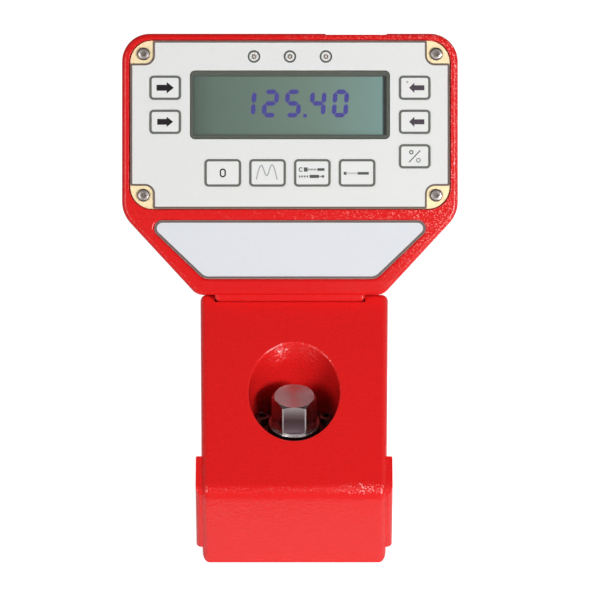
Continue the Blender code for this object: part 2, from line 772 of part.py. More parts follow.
def label_corners(shrink):
    # Parallel to the foot and the two diagonals of the head, with a level top
    corners = head_corners()
    side = LABEL_INSET + shrink
    low_left, low_right, high_right, _ = inset(corners[:3] + corners[5:], [side, side, 0, side])
    top = PANEL_BOTTOM - LABEL_TOP_GAP - shrink
    lean = (high_right.x - low_right.x) / (high_right.y - low_right.y)
    half = low_right.x + lean * (top - low_right.y)
    return [low_left, low_right, Vector((half, top)), Vector((-half, top))]


def panel_screw_places():
    return [(x, z) for z in SCREW_ROWS for x in (-SCREW_X, SCREW_X)]


def panel_screw_holes(start, end):
    holes = [circle(x, z, PANEL_SCREW_RADIUS + SLIDE_GAP, 12) for x, z in panel_screw_places()]
    return prisms("panel_screw_holes", holes, "Y", start, end)


def port_recess():
    half = PORT_RECESS_WIDTH / 2
    x = PORT_RECESS_X
    floor = HEAD_HEIGHT - PORT_RECESS_HEIGHT
    corners = rectangle(x - half, floor, x + half, HEAD_HEIGHT + OVERSHOOT)
    outline = rounded(corners, [PORT_RECESS_RADIUS, PORT_RECESS_RADIUS, 0, 0], 3)
    return prism("port_recess", outline, "Y", PORT_RECESS_FRONT, HEAD_DEPTH + OVERSHOOT)


def port_centre_y():
    return (PORT_RECESS_FRONT + HEAD_DEPTH) / 2 - PORT_FORWARD


def centred(width, height, x, z, radius, steps=2):
    return rounded_rectangle(x - width / 2, z - height / 2, x + width / 2, z + height / 2, radius, steps)


def port_hole():
    width = PORT_SHELL_WIDTH + 2 * SLIDE_GAP
    depth = PORT_SHELL_DEPTH + 2 * SLIDE_GAP
    outline = centred(width, depth, PORT_RECESS_X, port_centre_y(), PORT_SHELL_RADIUS)
    return prism("port_hole", outline, "Z", PANEL_TOP - 2 * PANEL_LEDGE, HEAD_HEIGHT)


def rear_holes():
    width = SWITCH_WIDTH + 2 * SLIDE_GAP
    height = SWITCH_HEIGHT + 2 * SLIDE_GAP
    switch = centred(width, height, REAR_FITTING_X, SWITCH_Z, SWITCH_CORNER_RADIUS)
    inlet = circle(REAR_FITTING_X, INLET_Z, INLET_RADIUS + SLIDE_GAP)
    return prisms("rear_holes", [switch, inlet], "Y", REAR_WALL_FRONT - OVERSHOOT, HEAD_DEPTH + OVERSHOOT)


def make_head():
    head = prism("head_casting", head_outline(0), "Y", 0, HEAD_DEPTH, painted_red)
    bevelled(head, HEAD_FRONT_EDGE_RADIUS, 3, 60)
    join(head, turn_into_head(head_pad()))
    label_outline = rounded(label_corners(0), [LABEL_RADIUS] * 4)
    label = prism("label_recess", label_outline, "Y", -OVERSHOOT, LABEL_RECESS)
    screw_end = LEDGE_FRONT + PANEL_SCREW_LENGTH
    screws = panel_screw_holes(LEDGE_FRONT / 2, screw_end)
    tools = [panel_pocket(), head_cavity(), lower_cavity(), label, screws]
    tools += [port_recess(), port_hole(), rear_holes()]
    turn_into_head(*tools)
    cut(head, *tools, bpy.data.objects["head_bolt_holes"], bpy.data.objects["cable_passage"])
    return turn_into_head(head)


def make_head_bolts():
    for number, side in enumerate((-1, 1), 1):
        under_seat = -PAD_HEIGHT - SEAT_GAP - BODY_WALL - SEAT_GAP
        bolt = cap_screw("head_bolt_%d" % number, HEAD_BOLT_RADIUS, HEAD_BOLT_BITE - under_seat,
                         HEAD_BOLT_HEAD_RADIUS, HEAD_BOLT_HEAD_HEIGHT, dark_steel)
        bolt.rotation_euler.x = math.pi
        bolt.location = (side * HEAD_BOLT_X, HEAD_BOLT_DEPTH, under_seat)
        turn_into_head(bolt)


def make_label():
    outline = rounded(label_corners(SLIDE_GAP), [LABEL_RADIUS] * 4)
    front = LABEL_RECESS - SEAT_GAP - LABEL_THICKNESS
    turn_into_head(prism("label_plate", outline, "Y", front, front + LABEL_THICKNESS, label_white))


# Panel, overlay and keys

def up_panel(share):
    return PANEL_BOTTOM + share * PANEL_HEIGHT


def key_places():
    # Name, width, height and centre of each key
    width = SIDE_KEY_WIDTH_SHARE * PANEL_HALF_WIDTH
    height = SIDE_KEY_HEIGHT_SHARE * PANEL_HEIGHT
    across = SIDE_KEY_ACROSS_SHARE * PANEL_HALF_WIDTH
    keys = []
    for row, share in enumerate((SIDE_KEY_TOP_SHARE, SIDE_KEY_MIDDLE_SHARE), 1):
        keys.append(("key_left_%d" % row, width, height, -across, up_panel(share)))
        keys.append(("key_right_%d" % row, width, height, across, up_panel(share)))
    keys.append(("key_percent", width, height, across, up_panel(SIDE_KEY_LOW_SHARE)))
    width = ROW_KEY_WIDTH_SHARE * PANEL_HALF_WIDTH
    height = ROW_KEY_HEIGHT_SHARE * PANEL_HEIGHT
    pitch = ROW_KEY_PITCH_SHARE * PANEL_HALF_WIDTH
    names = ("key_zero", "key_curve", "key_two_tools", "key_one_tool")
    for step, name in enumerate(names):
        x = (step - (len(names) - 1) / 2) * pitch
        keys.append((name, width, height, x, up_panel(ROW_KEY_UP_SHARE)))
    return keys


def led_places():
    pitch = LED_PITCH_SHARE * PANEL_HALF_WIDTH
    return [(step * pitch, up_panel(LED_UP_SHARE)) for step in (-1, 0, 1)]


def window_outline(grow):
    width = WINDOW_WIDTH_SHARE * PANEL_HALF_WIDTH + 2 * grow
    height = WINDOW_HEIGHT_SHARE * PANEL_HEIGHT + 2 * grow
    return centred(width, height, 0, up_panel(WINDOW_UP_SHARE), WINDOW_RADIUS + grow)


def panel_openings(name, key_grow, start, end):
    outlines = [window_outline(0)]
    for _, width, height, x, z in key_places():
        outlines.append(centred(width + 2 * key_grow, height + 2 * key_grow, x, z, KEY_RADIUS + key_grow))
    outlines += [circle(x, z, LED_HOLE_RADIUS, 16) for x, z in led_places()]
    return prisms(name, outlines, "Y", start, end)


def make_panel():
    half = PANEL_HALF_WIDTH
    outline = rounded_rectangle(-half, PANEL_BOTTOM, half, PANEL_TOP, PANEL_RADIUS, 6)
    panel = prism("panel_plate", outline, "Y", PANEL_RECESS, PANEL_BACK, gold_plate)
    start = PANEL_RECESS - OVERSHOOT
    end = PANEL_BACK + OVERSHOOT
    openings = panel_openings("panel_openings", KEY_FLANGE + SLIDE_GAP, start, end)
    cut(panel, turn_into_head(openings), turn_into_head(panel_screw_holes(start, end)))
    turn_into_head(panel)


def make_overlay():
    outline = notched_panel(OVERLAY_MARGIN, NOTCH, NOTCH_POINT_RADIUS, NOTCH_RADIUS)
    back = OVERLAY_FRONT + OVERLAY_THICKNESS
    overlay = prism("panel_overlay", outline, "Y", OVERLAY_FRONT, back, overlay_white)
    openings = panel_openings("overlay_openings", SLIDE_GAP, OVERLAY_FRONT - OVERSHOOT, back + OVERSHOOT)
    cut(overlay, turn_into_head(openings))
    turn_into_head(overlay)


def make_keys():
    # A face flush with the overlay, a flange behind it, and a stem that stops short of the dome
    flange_start = OVERLAY_THICKNESS + SEAT_GAP
    flange_end = flange_start + KEY_FLANGE_THICKNESS
    stem_end = KEY_BOARD_FRONT - DOME_HEIGHT - KEY_TRAVEL - SEAT_GAP - OVERLAY_FRONT
    for name, width, height, x, z in key_places():
        face = centred(width, height, 0, 0, KEY_RADIUS)
        flange = centred(width + 2 * KEY_FLANGE, height + 2 * KEY_FLANGE, 0, 0, KEY_RADIUS + KEY_FLANGE)
        rod = circle(0, 0, KEY_STEM_RADIUS, 12)
        key = prism(name, face, "Y", 0, flange_start + OVERLAP, key_white)
        wide = prism(name + "_flange", flange, "Y", flange_start, flange_end)
        stem = prism(name + "_stem", rod, "Y", flange_end - OVERLAP, stem_end)
        wide.parent = key
        stem.parent = key
        join(key, wide, stem)
        key.location = (x, OVERLAY_FRONT, z)
        turn_into_head(key)


def make_window():
    # The clear pane in the overlay and the display module behind it
    outline = window_outline(-SLIDE_GAP)
    back = OVERLAY_FRONT + OVERLAY_THICKNESS
    pane = prism("display_pane", outline, "Y", OVERLAY_FRONT, back, clear_pane)
    module = prism("display_module", outline, "Y", back + SEAT_GAP, KEY_BOARD_FRONT - SEAT_GAP, lcd_green)
    turn_into_head(pane, module)


def make_leds():
    # A rim on the board and a domed tip in the overlay's round window
    length = KEY_BOARD_FRONT - SEAT_GAP - OVERLAY_FRONT - OVERLAY_THICKNESS
    shoulder = length - LED_RADIUS
    profile = [(0, 0), (LED_RIM_RADIUS, 0), (LED_RIM_RADIUS, LED_RADIUS / 2), (LED_RADIUS, LED_RADIUS / 2)]
    for degrees in (0, 30, 60):
        turn = math.radians(degrees)
        profile.append((LED_RADIUS * math.cos(turn), shoulder + LED_RADIUS * math.sin(turn)))
    profile.append((0, length))
    for number, (x, z) in enumerate(led_places(), 1):
        led = turned("led_%d" % number, profile, led_amber, 12)
        led.rotation_euler.x = math.radians(90)
        led.location = (x, KEY_BOARD_FRONT - SEAT_GAP, z)
        turn_into_head(led)


def make_panel_screws():
    head_seat = PANEL_RECESS - SEAT_GAP
    for number, (x, z) in enumerate(panel_screw_places(), 1):
        screw = cap_screw("panel_screw_%d" % number, PANEL_SCREW_RADIUS, PANEL_SCREW_LENGTH,
                          PANEL_SCREW_HEAD_RADIUS, PANEL_SCREW_HEAD_HEIGHT, bright_steel)
        screw.rotation_euler.x = math.radians(90)
        screw.location = (x, head_seat, z)
        turn_into_head(screw)


# Boards, battery and cable

def board_edges():
    half = PANEL_HALF_WIDTH - BOARD_MARGIN
    return -half, PANEL_BOTTOM + BOARD_MARGIN, half, PANEL_TOP - BOARD_MARGIN


def board_bite():
    return PANEL_LEDGE + LEDGE_CORNER - BOARD_MARGIN + BOARD_CORNER_GAP


def pillar_places():
    x0, z0, x1, z1 = board_edges()
    rise = board_bite() + PILLAR_INSET
    return [(x, z) for x in (x0 + PILLAR_INSET, x1 - PILLAR_INSET) for z in (z0 + rise, z1 - rise)]


def board_outline():
    x0, z0, x1, z1 = board_edges()
    bite = board_bite()
    corners = [(x0 + bite, z0), (x1 - bite, z0), (x1 - bite, z0 + bite), (x1, z0 + bite),
               (x1, z1 - bite), (x1 - bite, z1 - bite), (x1 - bite, z1), (x0 + bite, z1),
               (x0 + bite, z1 - bite), (x0, z1 - bite), (x0, z0 + bite), (x0 + bite, z0 + bite)]
    return [Vector(corner) for corner in corners]


def board_holes(name, start, end):
    holes = [circle(x, z, PILLAR_NECK_RADIUS + SLIDE_GAP, 12) for x, z in pillar_places()]
    return turn_into_head(prisms(name, holes, "Y", start, end))


def make_key_board():
    back = KEY_BOARD_FRONT + BOARD_THICKNESS
    board = prism("key_board", board_outline(), "Y", KEY_BOARD_FRONT, back, board_green)
    domes = [circle(x, z, DOME_RADIUS, 10) for _, _, _, x, z in key_places()]
    switches = prisms("key_domes", domes, "Y", KEY_BOARD_FRONT - DOME_HEIGHT, KEY_BOARD_FRONT + OVERLAP)
    join(board, turn_into_head(switches))
    cut(board, board_holes("key_board_holes", KEY_BOARD_FRONT - OVERSHOOT, back + OVERSHOOT))
    turn_into_head(board)


def make_main_board():
    back = MAIN_BOARD_FRONT + BOARD_THICKNESS
    board = prism("main_board", board_outline(), "Y", MAIN_BOARD_FRONT, back, board_green)
    cut(board, board_holes("main_board_holes", MAIN_BOARD_FRONT - OVERSHOOT, back + OVERSHOOT))
    turn_into_head(board)


def make_pillars():
    # A neck through each board, with the thick part between them
    key_back = KEY_BOARD_FRONT + BOARD_THICKNESS + SEAT_GAP
    main_front = MAIN_BOARD_FRONT - SEAT_GAP
    end = MAIN_BOARD_FRONT + BOARD_THICKNESS + PILLAR_END
    profile = [(0, LEDGE_FRONT), (PILLAR_NECK_RADIUS, LEDGE_FRONT), (PILLAR_NECK_RADIUS, key_back),
               (PILLAR_RADIUS, key_back), (PILLAR_RADIUS, main_front),
               (PILLAR_NECK_RADIUS, main_front), (PILLAR_NECK_RADIUS, end), (0, end)]
    for number, (x, z) in enumerate(pillar_places(), 1):
        pillar = turned("board_pillar_%d" % number, profile, bright_steel, 12)
        pillar.rotation_euler.x = math.radians(-90)
        pillar.location = (x, 0, z)
        turn_into_head(pillar)


def make_battery():
    half = BATTERY_WIDTH / 2
    back = LOWER_WALL_FRONT - SEAT_GAP
    outline = rounded_rectangle(-half, BATTERY_BOTTOM_Z, half, BATTERY_BOTTOM_Z + BATTERY_HEIGHT,
                                BATTERY_RADIUS, 2)
    turn_into_head(prism("battery_pack", outline, "Y", back - BATTERY_DEPTH, back, battery_blue))


def plug_bottom():
    return PANEL_BOTTOM + BOARD_MARGIN + SEAT_GAP


def make_cable_plug():
    back = MAIN_BOARD_FRONT - SEAT_GAP
    outline = centred(PLUG_WIDTH, PLUG_HEIGHT, PASSAGE_X, plug_bottom() + PLUG_HEIGHT / 2, PLUG_RADIUS)
    turn_into_head(prism("cable_plug", outline, "Y", back - PLUG_THICKNESS, back, key_white))


def in_head(x, y, z):
    along = HEAD_CORNER + INTO_HEAD * y + UP_HEAD * z
    return Vector((HEAD_OFFSET_X + x, along.x, along.y))


def smooth_route(points, steps):
    # A curve through every point, with the ends held straight
    ends = [2 * points[0] - points[1]] + points + [2 * points[-1] - points[-2]]
    route = []
    for a, b, c, d in zip(ends, ends[1:], ends[2:], ends[3:]):
        for k in range(steps):
            t = k / steps
            route.append(0.5 * (2 * b + (c - a) * t + (2 * a - 5 * b + 4 * c - d) * t ** 2
                                + (3 * b - a - 3 * c + d) * t ** 3))
    return route + [points[-1]]


def make_signal_cable():
    # From the foot of the transducer, along the base and up through the seat to the main board
    spigot_bottom = WELL_FLOOR_TOP - SPIGOT_LENGTH
    hole_top = spigot_bottom + CABLE_HOLE_DEPTH
    plug_y = MAIN_BOARD_FRONT - SEAT_GAP - PLUG_THICKNESS / 2
    under_seat = -PAD_HEIGHT - BODY_WALL
    x = HEAD_OFFSET_X + PASSAGE_X
    bend_y = WELL_RADIUS + WELL_WALL + 3 * CABLE_CLEARANCE
    points = [Vector((0, 0, hole_top - SEAT_GAP)), Vector((0, 0, spigot_bottom + CABLE_HOLE_DEPTH / 2)),
              Vector((x / 9, 0, spigot_bottom)), Vector((x / 2, bend_y / 4, BASE_CAVITY_FLOOR)),
              Vector((x, bend_y * 2 / 3, BASE_CAVITY_FLOOR)),
              Vector((x, bend_y, spigot_bottom + CABLE_CLEARANCE)),
              Vector((x, bend_y + CABLE_CLEARANCE, WELL_FLOOR_TOP)),
              Vector((x, bend_y + 2 * CABLE_CLEARANCE, WELL_FLOOR_TOP + WELL_RADIUS)),
              in_head(PASSAGE_X, PASSAGE_DEPTH, 2 * under_seat),
              in_head(PASSAGE_X, PASSAGE_DEPTH, under_seat),
              in_head(PASSAGE_X, PASSAGE_DEPTH, HEAD_WALL),
              in_head(PASSAGE_X, PASSAGE_DEPTH, 3 * HEAD_WALL),
              in_head(PASSAGE_X, (PASSAGE_DEPTH + plug_y) / 2, plug_bottom() * 2 / 3),
              in_head(PASSAGE_X, plug_y, plug_bottom() - 2 * CABLE_CLEARANCE),
              in_head(PASSAGE_X, plug_y, plug_bottom() - SEAT_GAP)]
    route = smooth_route(points, 3)
    curve = bpy.data.curves.new("signal_cable", "CURVE")
    curve.dimensions = "3D"
    curve.bevel_depth = CABLE_RADIUS
    curve.bevel_resolution = 1
    curve.use_fill_caps = True
    line = curve.splines.new("POLY")
    line.points.add(len(route) - 1)
    for point, place in zip(line.points, route):
        point.co = (*place, 1)
    curve.materials.append(black_plastic)
    cable = bpy.data.objects.new("signal_cable", curve)
    bpy.context.scene.collection.objects.link(cable)


# Sockets and switch

def make_data_port():
    # A flange on the recess floor with a D-shaped socket through it
    floor = HEAD_HEIGHT - PORT_RECESS_HEIGHT
    flange_top = floor + SEAT_GAP + PORT_FLANGE_THICKNESS
    x = PORT_RECESS_X
    y = port_centre_y()
    half_width = PORT_SHELL_WIDTH / 2
    half_depth = PORT_SHELL_DEPTH / 2
    narrow = half_width - PORT_SHELL_LEAN
    flange = centred(PORT_FLANGE_WIDTH, PORT_FLANGE_DEPTH, x, y, PORT_FLANGE_RADIUS)
    corners = [(x - narrow, y - half_depth), (x + narrow, y - half_depth),
               (x + half_width, y + half_depth), (x - half_width, y + half_depth)]
    outside = rounded(corners, [PORT_SHELL_RADIUS] * 4, 3)
    port = prism("data_port", flange, "Z", floor + SEAT_GAP, flange_top, bright_steel)
    shell = prism("port_shell", outside, "Z", floor - PORT_SUNK, flange_top + PORT_SHELL_HEIGHT)
    turn_into_head(shell)
    turn_into_head(join(port, shell))


def make_power_inlet():
    # A round socket with a pin in its bore, turned about its own axis
    inner = REAR_WALL_FRONT - INLET_BODY_DEPTH
    flange = HEAD_DEPTH + SEAT_GAP
    lip = flange + INLET_FLANGE_THICKNESS
    bottom = flange - INLET_BORE_DEPTH
    tip = HEAD_DEPTH - SEAT_GAP
    profile = [(0, inner), (INLET_RADIUS, inner), (INLET_RADIUS, flange), (INLET_FLANGE_RADIUS, flange),
               (INLET_FLANGE_RADIUS, lip), (INLET_BORE_RADIUS, lip), (INLET_BORE_RADIUS, bottom),
               (INLET_PIN_RADIUS, bottom), (INLET_PIN_RADIUS, tip), (0, tip)]
    inlet = turned("power_inlet", profile, black_plastic, 20)
    inlet.rotation_euler.x = math.radians(-90)
    inlet.location = (REAR_FITTING_X, 0, INLET_Z)
    turn_into_head(inlet)


def make_switch():
    # A frame sunk in the rear wall, with room for the rocker
    rim_start = HEAD_DEPTH + SEAT_GAP
    bottom = HEAD_DEPTH - SWITCH_DEPTH
    room_width = ROCKER_WIDTH + 4 * SLIDE_GAP
    room_height = 2 * ROCKER_HALF_LENGTH + 4 * SLIDE_GAP
    rim_width = SWITCH_WIDTH + 2 * SWITCH_FLANGE
    rim_height = SWITCH_HEIGHT + 2 * SWITCH_FLANGE
    rim = centred(rim_width, rim_height, REAR_FITTING_X, SWITCH_Z, SWITCH_RIM_RADIUS)
    core = centred(SWITCH_WIDTH, SWITCH_HEIGHT, REAR_FITTING_X, SWITCH_Z, SWITCH_CORNER_RADIUS)
    room = centred(room_width, room_height, REAR_FITTING_X, SWITCH_Z, SWITCH_CORNER_RADIUS)
    frame = prism("switch_frame", rim, "Y", rim_start, rim_start + SWITCH_RIM, black_plastic)
    body = prism("switch_body", core, "Y", bottom, rim_start + SWITCH_RIM / 2)
    pocket = prism("switch_pocket", room, "Y", bottom + SWITCH_FLOOR, rim_start + 2 * SWITCH_RIM)
    turn_into_head(body, pocket)
    cut(join(frame, body), pocket)
    turn_into_head(frame)


def make_rocker():
    # In its own frame the rocker's pivot is at the origin and Y points out of the head
    end = ROCKER_HALF_LENGTH - ROCKER_END_LEAN
    tip = ROCKER_CROWN + ROCKER_HALF_LENGTH * math.tan(ROCKER_SWING)
    belly = [math.radians(degrees) for degrees in (10, 30, 50)]
    half = [(-ROCKER_BELLY * math.cos(turn), ROCKER_BELLY * math.sin(turn)) for turn in belly]
    half += [(0, end), (tip / 2, end), (tip, end - ROCKER_END_LEAN)]
    mirrored = [(y, -z) for y, z in reversed(half)]
    outline = half + [(ROCKER_CROWN, 0)] + mirrored
    rocker = prism("power_rocker", outline, "X", -ROCKER_WIDTH / 2, ROCKER_WIDTH / 2, black_plastic)
    rocker.rotation_euler.x = -ROCKER_SWING
    rocker.location = (REAR_FITTING_X, HEAD_DEPTH - ROCKER_PIVOT_DEPTH, SWITCH_Z)
    turn_into_head(rocker)


# The whole tester

for old in list(bpy.data.objects):
    bpy.data.objects.remove(old, do_unlink=True)

painted_red = material("painted_red", (0.72, 0.012, 0.012), 0.35)
zinc_steel = material("zinc_steel", (0.55, 0.56, 0.58), 0.45, 1.0)
bright_steel = material("bright_steel", (0.62, 0.62, 0.60), 0.3, 1.0)
dark_steel = material("dark_steel", (0.05, 0.055, 0.05), 0.45, 0.8)
gold_plate = material("gold_plate", (0.85, 0.68, 0.38), 0.35, 0.8)
overlay_white = material("overlay_white", (0.82, 0.82, 0.84), 0.45)
key_white = material("key_white", (0.84, 0.84, 0.86), 0.45)
label_white = material("label_white", (0.82, 0.82, 0.84), 0.4)
clear_pane = material("clear_pane", (0.55, 0.62, 0.58), 0.08)
lcd_green = material("lcd_green", (0.20, 0.32, 0.24), 0.25)
led_amber = material("led_amber", (0.75, 0.68, 0.55), 0.2)
board_green = material("board_green", (0.02, 0.16, 0.06), 0.5)
battery_blue = material("battery_blue", (0.04, 0.08, 0.3), 0.4)
black_plastic = material("black_plastic", (0.02, 0.02, 0.02), 0.5)

head_frame = bpy.data.objects.new("head_frame", None)
bpy.context.scene.collection.objects.link(head_frame)
head_frame.location = (HEAD_OFFSET_X, HEAD_CORNER.x, HEAD_CORNER.y)
head_frame.rotation_euler.x = -HEAD_TILT

make_body()
make_base_plate()
make_plate_screws()
make_transducer()
make_transducer_screws()
make_head()
make_head_bolts()
make_label()
make_panel()
make_overlay()
make_keys()
make_window()
make_leds()
make_panel_screws()
make_key_board()
make_main_board()
make_pillars()
make_battery()
make_cable_plug()
make_signal_cable()
make_data_port()
make_power_inlet()
make_switch()
make_rocker()
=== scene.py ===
import json
import math

import bmesh
import bpy
from mathutils import Matrix, Vector

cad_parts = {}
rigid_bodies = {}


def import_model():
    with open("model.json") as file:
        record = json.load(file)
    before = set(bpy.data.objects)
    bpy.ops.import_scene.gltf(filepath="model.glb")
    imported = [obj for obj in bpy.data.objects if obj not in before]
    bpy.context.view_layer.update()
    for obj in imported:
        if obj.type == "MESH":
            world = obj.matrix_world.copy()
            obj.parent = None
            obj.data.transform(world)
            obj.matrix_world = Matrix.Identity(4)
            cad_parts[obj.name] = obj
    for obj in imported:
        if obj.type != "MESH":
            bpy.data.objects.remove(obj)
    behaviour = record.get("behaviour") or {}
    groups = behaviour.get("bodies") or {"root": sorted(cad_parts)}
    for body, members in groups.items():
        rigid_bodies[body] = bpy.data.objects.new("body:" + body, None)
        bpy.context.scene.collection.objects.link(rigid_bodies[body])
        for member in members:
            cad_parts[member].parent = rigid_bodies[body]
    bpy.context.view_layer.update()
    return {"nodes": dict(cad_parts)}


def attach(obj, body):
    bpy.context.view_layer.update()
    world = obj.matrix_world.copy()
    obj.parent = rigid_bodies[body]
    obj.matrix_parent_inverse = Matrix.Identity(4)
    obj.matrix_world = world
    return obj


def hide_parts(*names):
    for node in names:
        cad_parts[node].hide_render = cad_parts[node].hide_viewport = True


for old in list(bpy.data.objects):
    bpy.data.objects.remove(old)

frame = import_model()
print("frame loaded:", len(frame["nodes"]), "nodes")

mm = 0.001

# sizes that several pieces share, in metres
form = {
    "front": -0.064, "nose": 0.0595, "slope": math.radians(30.4), "run": 0.1212, "seat": 0.0427,
    "tilt": math.radians(35), "headX": -0.0029, "overhang": 0.0097, "cheek": 0.0045, "gap": 0.0003,
}
into = Vector((math.cos(form["tilt"]), -math.sin(form["tilt"])))  # as (y, z), into the head
upHead = Vector((math.sin(form["tilt"]), math.cos(form["tilt"])))  # as (y, z), up its face
ridge = Vector((form["front"] + form["run"], form["nose"] + form["run"] * math.tan(form["slope"])))
headFoot = ridge - into * form["overhang"] + upHead * (form["cheek"] + form["gap"])
headPlace = Matrix.Translation((form["headX"], headFoot.x, headFoot.y)) @ Matrix.Rotation(-form["tilt"], 4, "X")


def slopeHeight(y):
    return form["nose"] + (y - form["front"]) * math.tan(form["slope"])


# outlines, lists of 2D points

def roundLoop(corners, radii, steps=8):
    loop = []
    for i, corner in enumerate(corners):
        here = Vector(corner)
        if radii[i] == 0:
            loop.append(here)
            continue
        before = (Vector(corners[i - 1]) - here).normalized()
        after = (Vector(corners[(i + 1) % len(corners)]) - here).normalized()
        half = before.angle(after) / 2
        centre = here + (before + after).normalized() * (radii[i] / math.sin(half))
        first = here + before * (radii[i] / math.tan(half)) - centre
        side = 1 if after.cross(before) > 0 else -1
        turn = side * (math.pi - 2 * half)
        loop += [centre + Matrix.Rotation(turn * k / steps, 2) @ first for k in range(steps + 1)]
    return loop


def insetLoop(corners, distances):
    lines = []
    for i, corner in enumerate(corners):
        start = Vector(corner)
        along = (Vector(corners[(i + 1) % len(corners)]) - start).normalized()
        lines.append((start + Vector((-along.y, along.x)) * distances[i], along))
    moved = []
    for i, (start, along) in enumerate(lines):
        otherStart, otherAlong = lines[i - 1]
        moved.append(start + along * ((otherStart - start).cross(otherAlong) / along.cross(otherAlong)))
    return moved


def boxCorners(x0, y0, x1, y1):
    return [(x0, y0), (x1, y0), (x1, y1), (x0, y1)]


def pillLoop(x, y, width, height, radius, steps=8):
    corners = boxCorners(x - width / 2, y - height / 2, x + width / 2, y + height / 2)
    return roundLoop(corners, [radius] * 4, steps)


def ringLoop(x, y, radius, steps=48):
    turns = [2 * math.pi * k / steps for k in range(steps)]
    return [Vector((x + radius * math.cos(t), y + radius * math.sin(t))) for t in turns]


# meshes

def finishMesh(name, source, finish, angle=35):
    bmesh.ops.remove_doubles(source, verts=source.verts, dist=0.000001)
    bmesh.ops.recalc_face_normals(source, faces=source.faces)
    mesh = bpy.data.meshes.new(name)
    source.to_mesh(mesh)
    source.free()
    mesh.shade_smooth()
    mesh.set_sharp_from_angle(angle=math.radians(angle))
    made = bpy.data.objects.new(name, mesh)
    bpy.context.scene.collection.objects.link(made)
    if finish:
        mesh.materials.append(finish)
    return made


def sweep(source, loop, axis, start, end):
    spot = {"X": lambda p, d: (d, p[0], p[1]), "Y": lambda p, d: (p[0], d, p[1]),
            "Z": lambda p, d: (p[0], p[1], d)}[axis]
    face = source.faces.new([source.verts.new(spot(p, start)) for p in loop])
    grown = bmesh.ops.extrude_face_region(source, geom=[face])
    moved = [g for g in grown["geom"] if isinstance(g, bmesh.types.BMVert)]
    bmesh.ops.translate(source, verts=moved, vec=Vector(spot((0, 0), end)) - Vector(spot((0, 0), start)))
    return moved


def prism(name, loops, axis, start, end, finish=None):
    source = bmesh.new()
    for loop in loops:
        sweep(source, loop, axis, start, end)
    return finishMesh(name, source, finish)


def skin(name, rings):
    # the closed space inside a row of rings, which have the same number of points
    source = bmesh.new()
    edges = []
    for ring in rings:
        verts = [source.verts.new(point) for point in ring]
        edges.append([source.edges.new((verts[k - 1], verts[k])) for k in range(len(verts))])
    for low, high in zip(edges, edges[1:]):
        bmesh.ops.bridge_loops(source, edges=low + high)
    bmesh.ops.edgeloop_fill(source, edges=edges[0] + edges[-1])
    return finishMesh(name, source, None)


def lathe(name, profile, finish=None, steps=96, angle=35):
    source = bmesh.new()
    points = [source.verts.new((r, 0, z)) for r, z in profile]
    edges = [source.edges.new(pair) for pair in zip(points, points[1:])]
    bmesh.ops.spin(source, geom=points + edges, axis=(0, 0, 1), cent=(0, 0, 0), angle=2 * math.pi,
                   steps=steps, use_merge=True)
    return finishMesh(name, source, finish, angle)


def knurl(obj, count, share, inner, outer, low, high):
    # between two radii and two heights, every other line of vertices moves in to a share of its radius
    for vert in obj.data.vertices:
        step = round(math.atan2(vert.co.y, vert.co.x) * count / math.pi)
        if step % 2 and inner < math.hypot(vert.co.x, vert.co.y) < outer and low < vert.co.z < high:
            vert.co.x *= share
            vert.co.y *= share


def bevelEdges(obj, width, segments, angle=50):
    edge = obj.modifiers.new("edge", "BEVEL")
    edge.width = width
    edge.segments = segments
    edge.limit_method = "ANGLE"
    edge.angle_limit = math.radians(angle)
    return obj


def carve(obj, tools, operation="DIFFERENCE"):
    for tool in tools:
        change = obj.modifiers.new(tool.name, "BOOLEAN")
        change.operation = operation
        change.object = tool
    return obj


def applied(obj):
    graph = bpy.context.evaluated_depsgraph_get()
    mesh = bpy.data.meshes.new_from_object(obj.evaluated_get(graph))
    obj.modifiers.clear()
    obj.data = mesh


def bake(obj, tools=(), weighted=True, angle=35):
    applied(obj)
    for tool in tools:
        bpy.data.objects.remove(tool)
    obj.data.set_sharp_from_angle(angle=math.radians(angle))
    if weighted:
        even = obj.modifiers.new("even", "WEIGHTED_NORMAL")  # keeps wide faces flat beside rounded edges
        even.keep_sharp = True
        applied(obj)
    return obj


def place(obj, matrix):
    obj.data.transform(matrix)
    obj.matrix_world = Matrix.Identity(4)
    return obj


def placeOnHead(obj, x, depth, z, tip):
    # x, depth and z in the head's own space, tip in degrees about x
    turn = Matrix.Rotation(math.radians(tip), 4, "X")
    return place(obj, headPlace @ Matrix.Translation((x, depth, z)) @ turn)


def flatShape(name, loops, front, back, finish, bevel=0.0):
    # loops in the head's (x, z); later loops inside the first are holes
    curve = bpy.data.curves.new(name, "CURVE")
    curve.dimensions = "2D"
    curve.fill_mode = "BOTH"
    curve.extrude = (back - front) / 2 - bevel
    curve.bevel_depth = bevel
    curve.bevel_resolution = 2
    curve.offset = -bevel
    for loop in loops:
        line = curve.splines.new("POLY")
        line.points.add(len(loop) - 1)
        line.use_cyclic_u = True
        for point, spot in zip(line.points, loop):
            point.co = (spot[0], spot[1], 0, 1)
    holder = bpy.data.objects.new(name, curve)
    bpy.context.scene.collection.objects.link(holder)
    bpy.context.view_layer.update()
    graph = bpy.context.evaluated_depsgraph_get()
    mesh = bpy.data.meshes.new_from_object(holder.evaluated_get(graph))
    bpy.data.objects.remove(holder)
    bpy.data.curves.remove(curve)
    source = bmesh.new()
    source.from_mesh(mesh)
    bpy.data.meshes.remove(mesh)
    middle = (front + back) / 2
    for vert in source.verts:
        x, z, out = vert.co
        vert.co = (x, middle - out, z)
    made = place(finishMesh(name, source, finish), headPlace)
    return bake(made, angle=50) if bevel else made


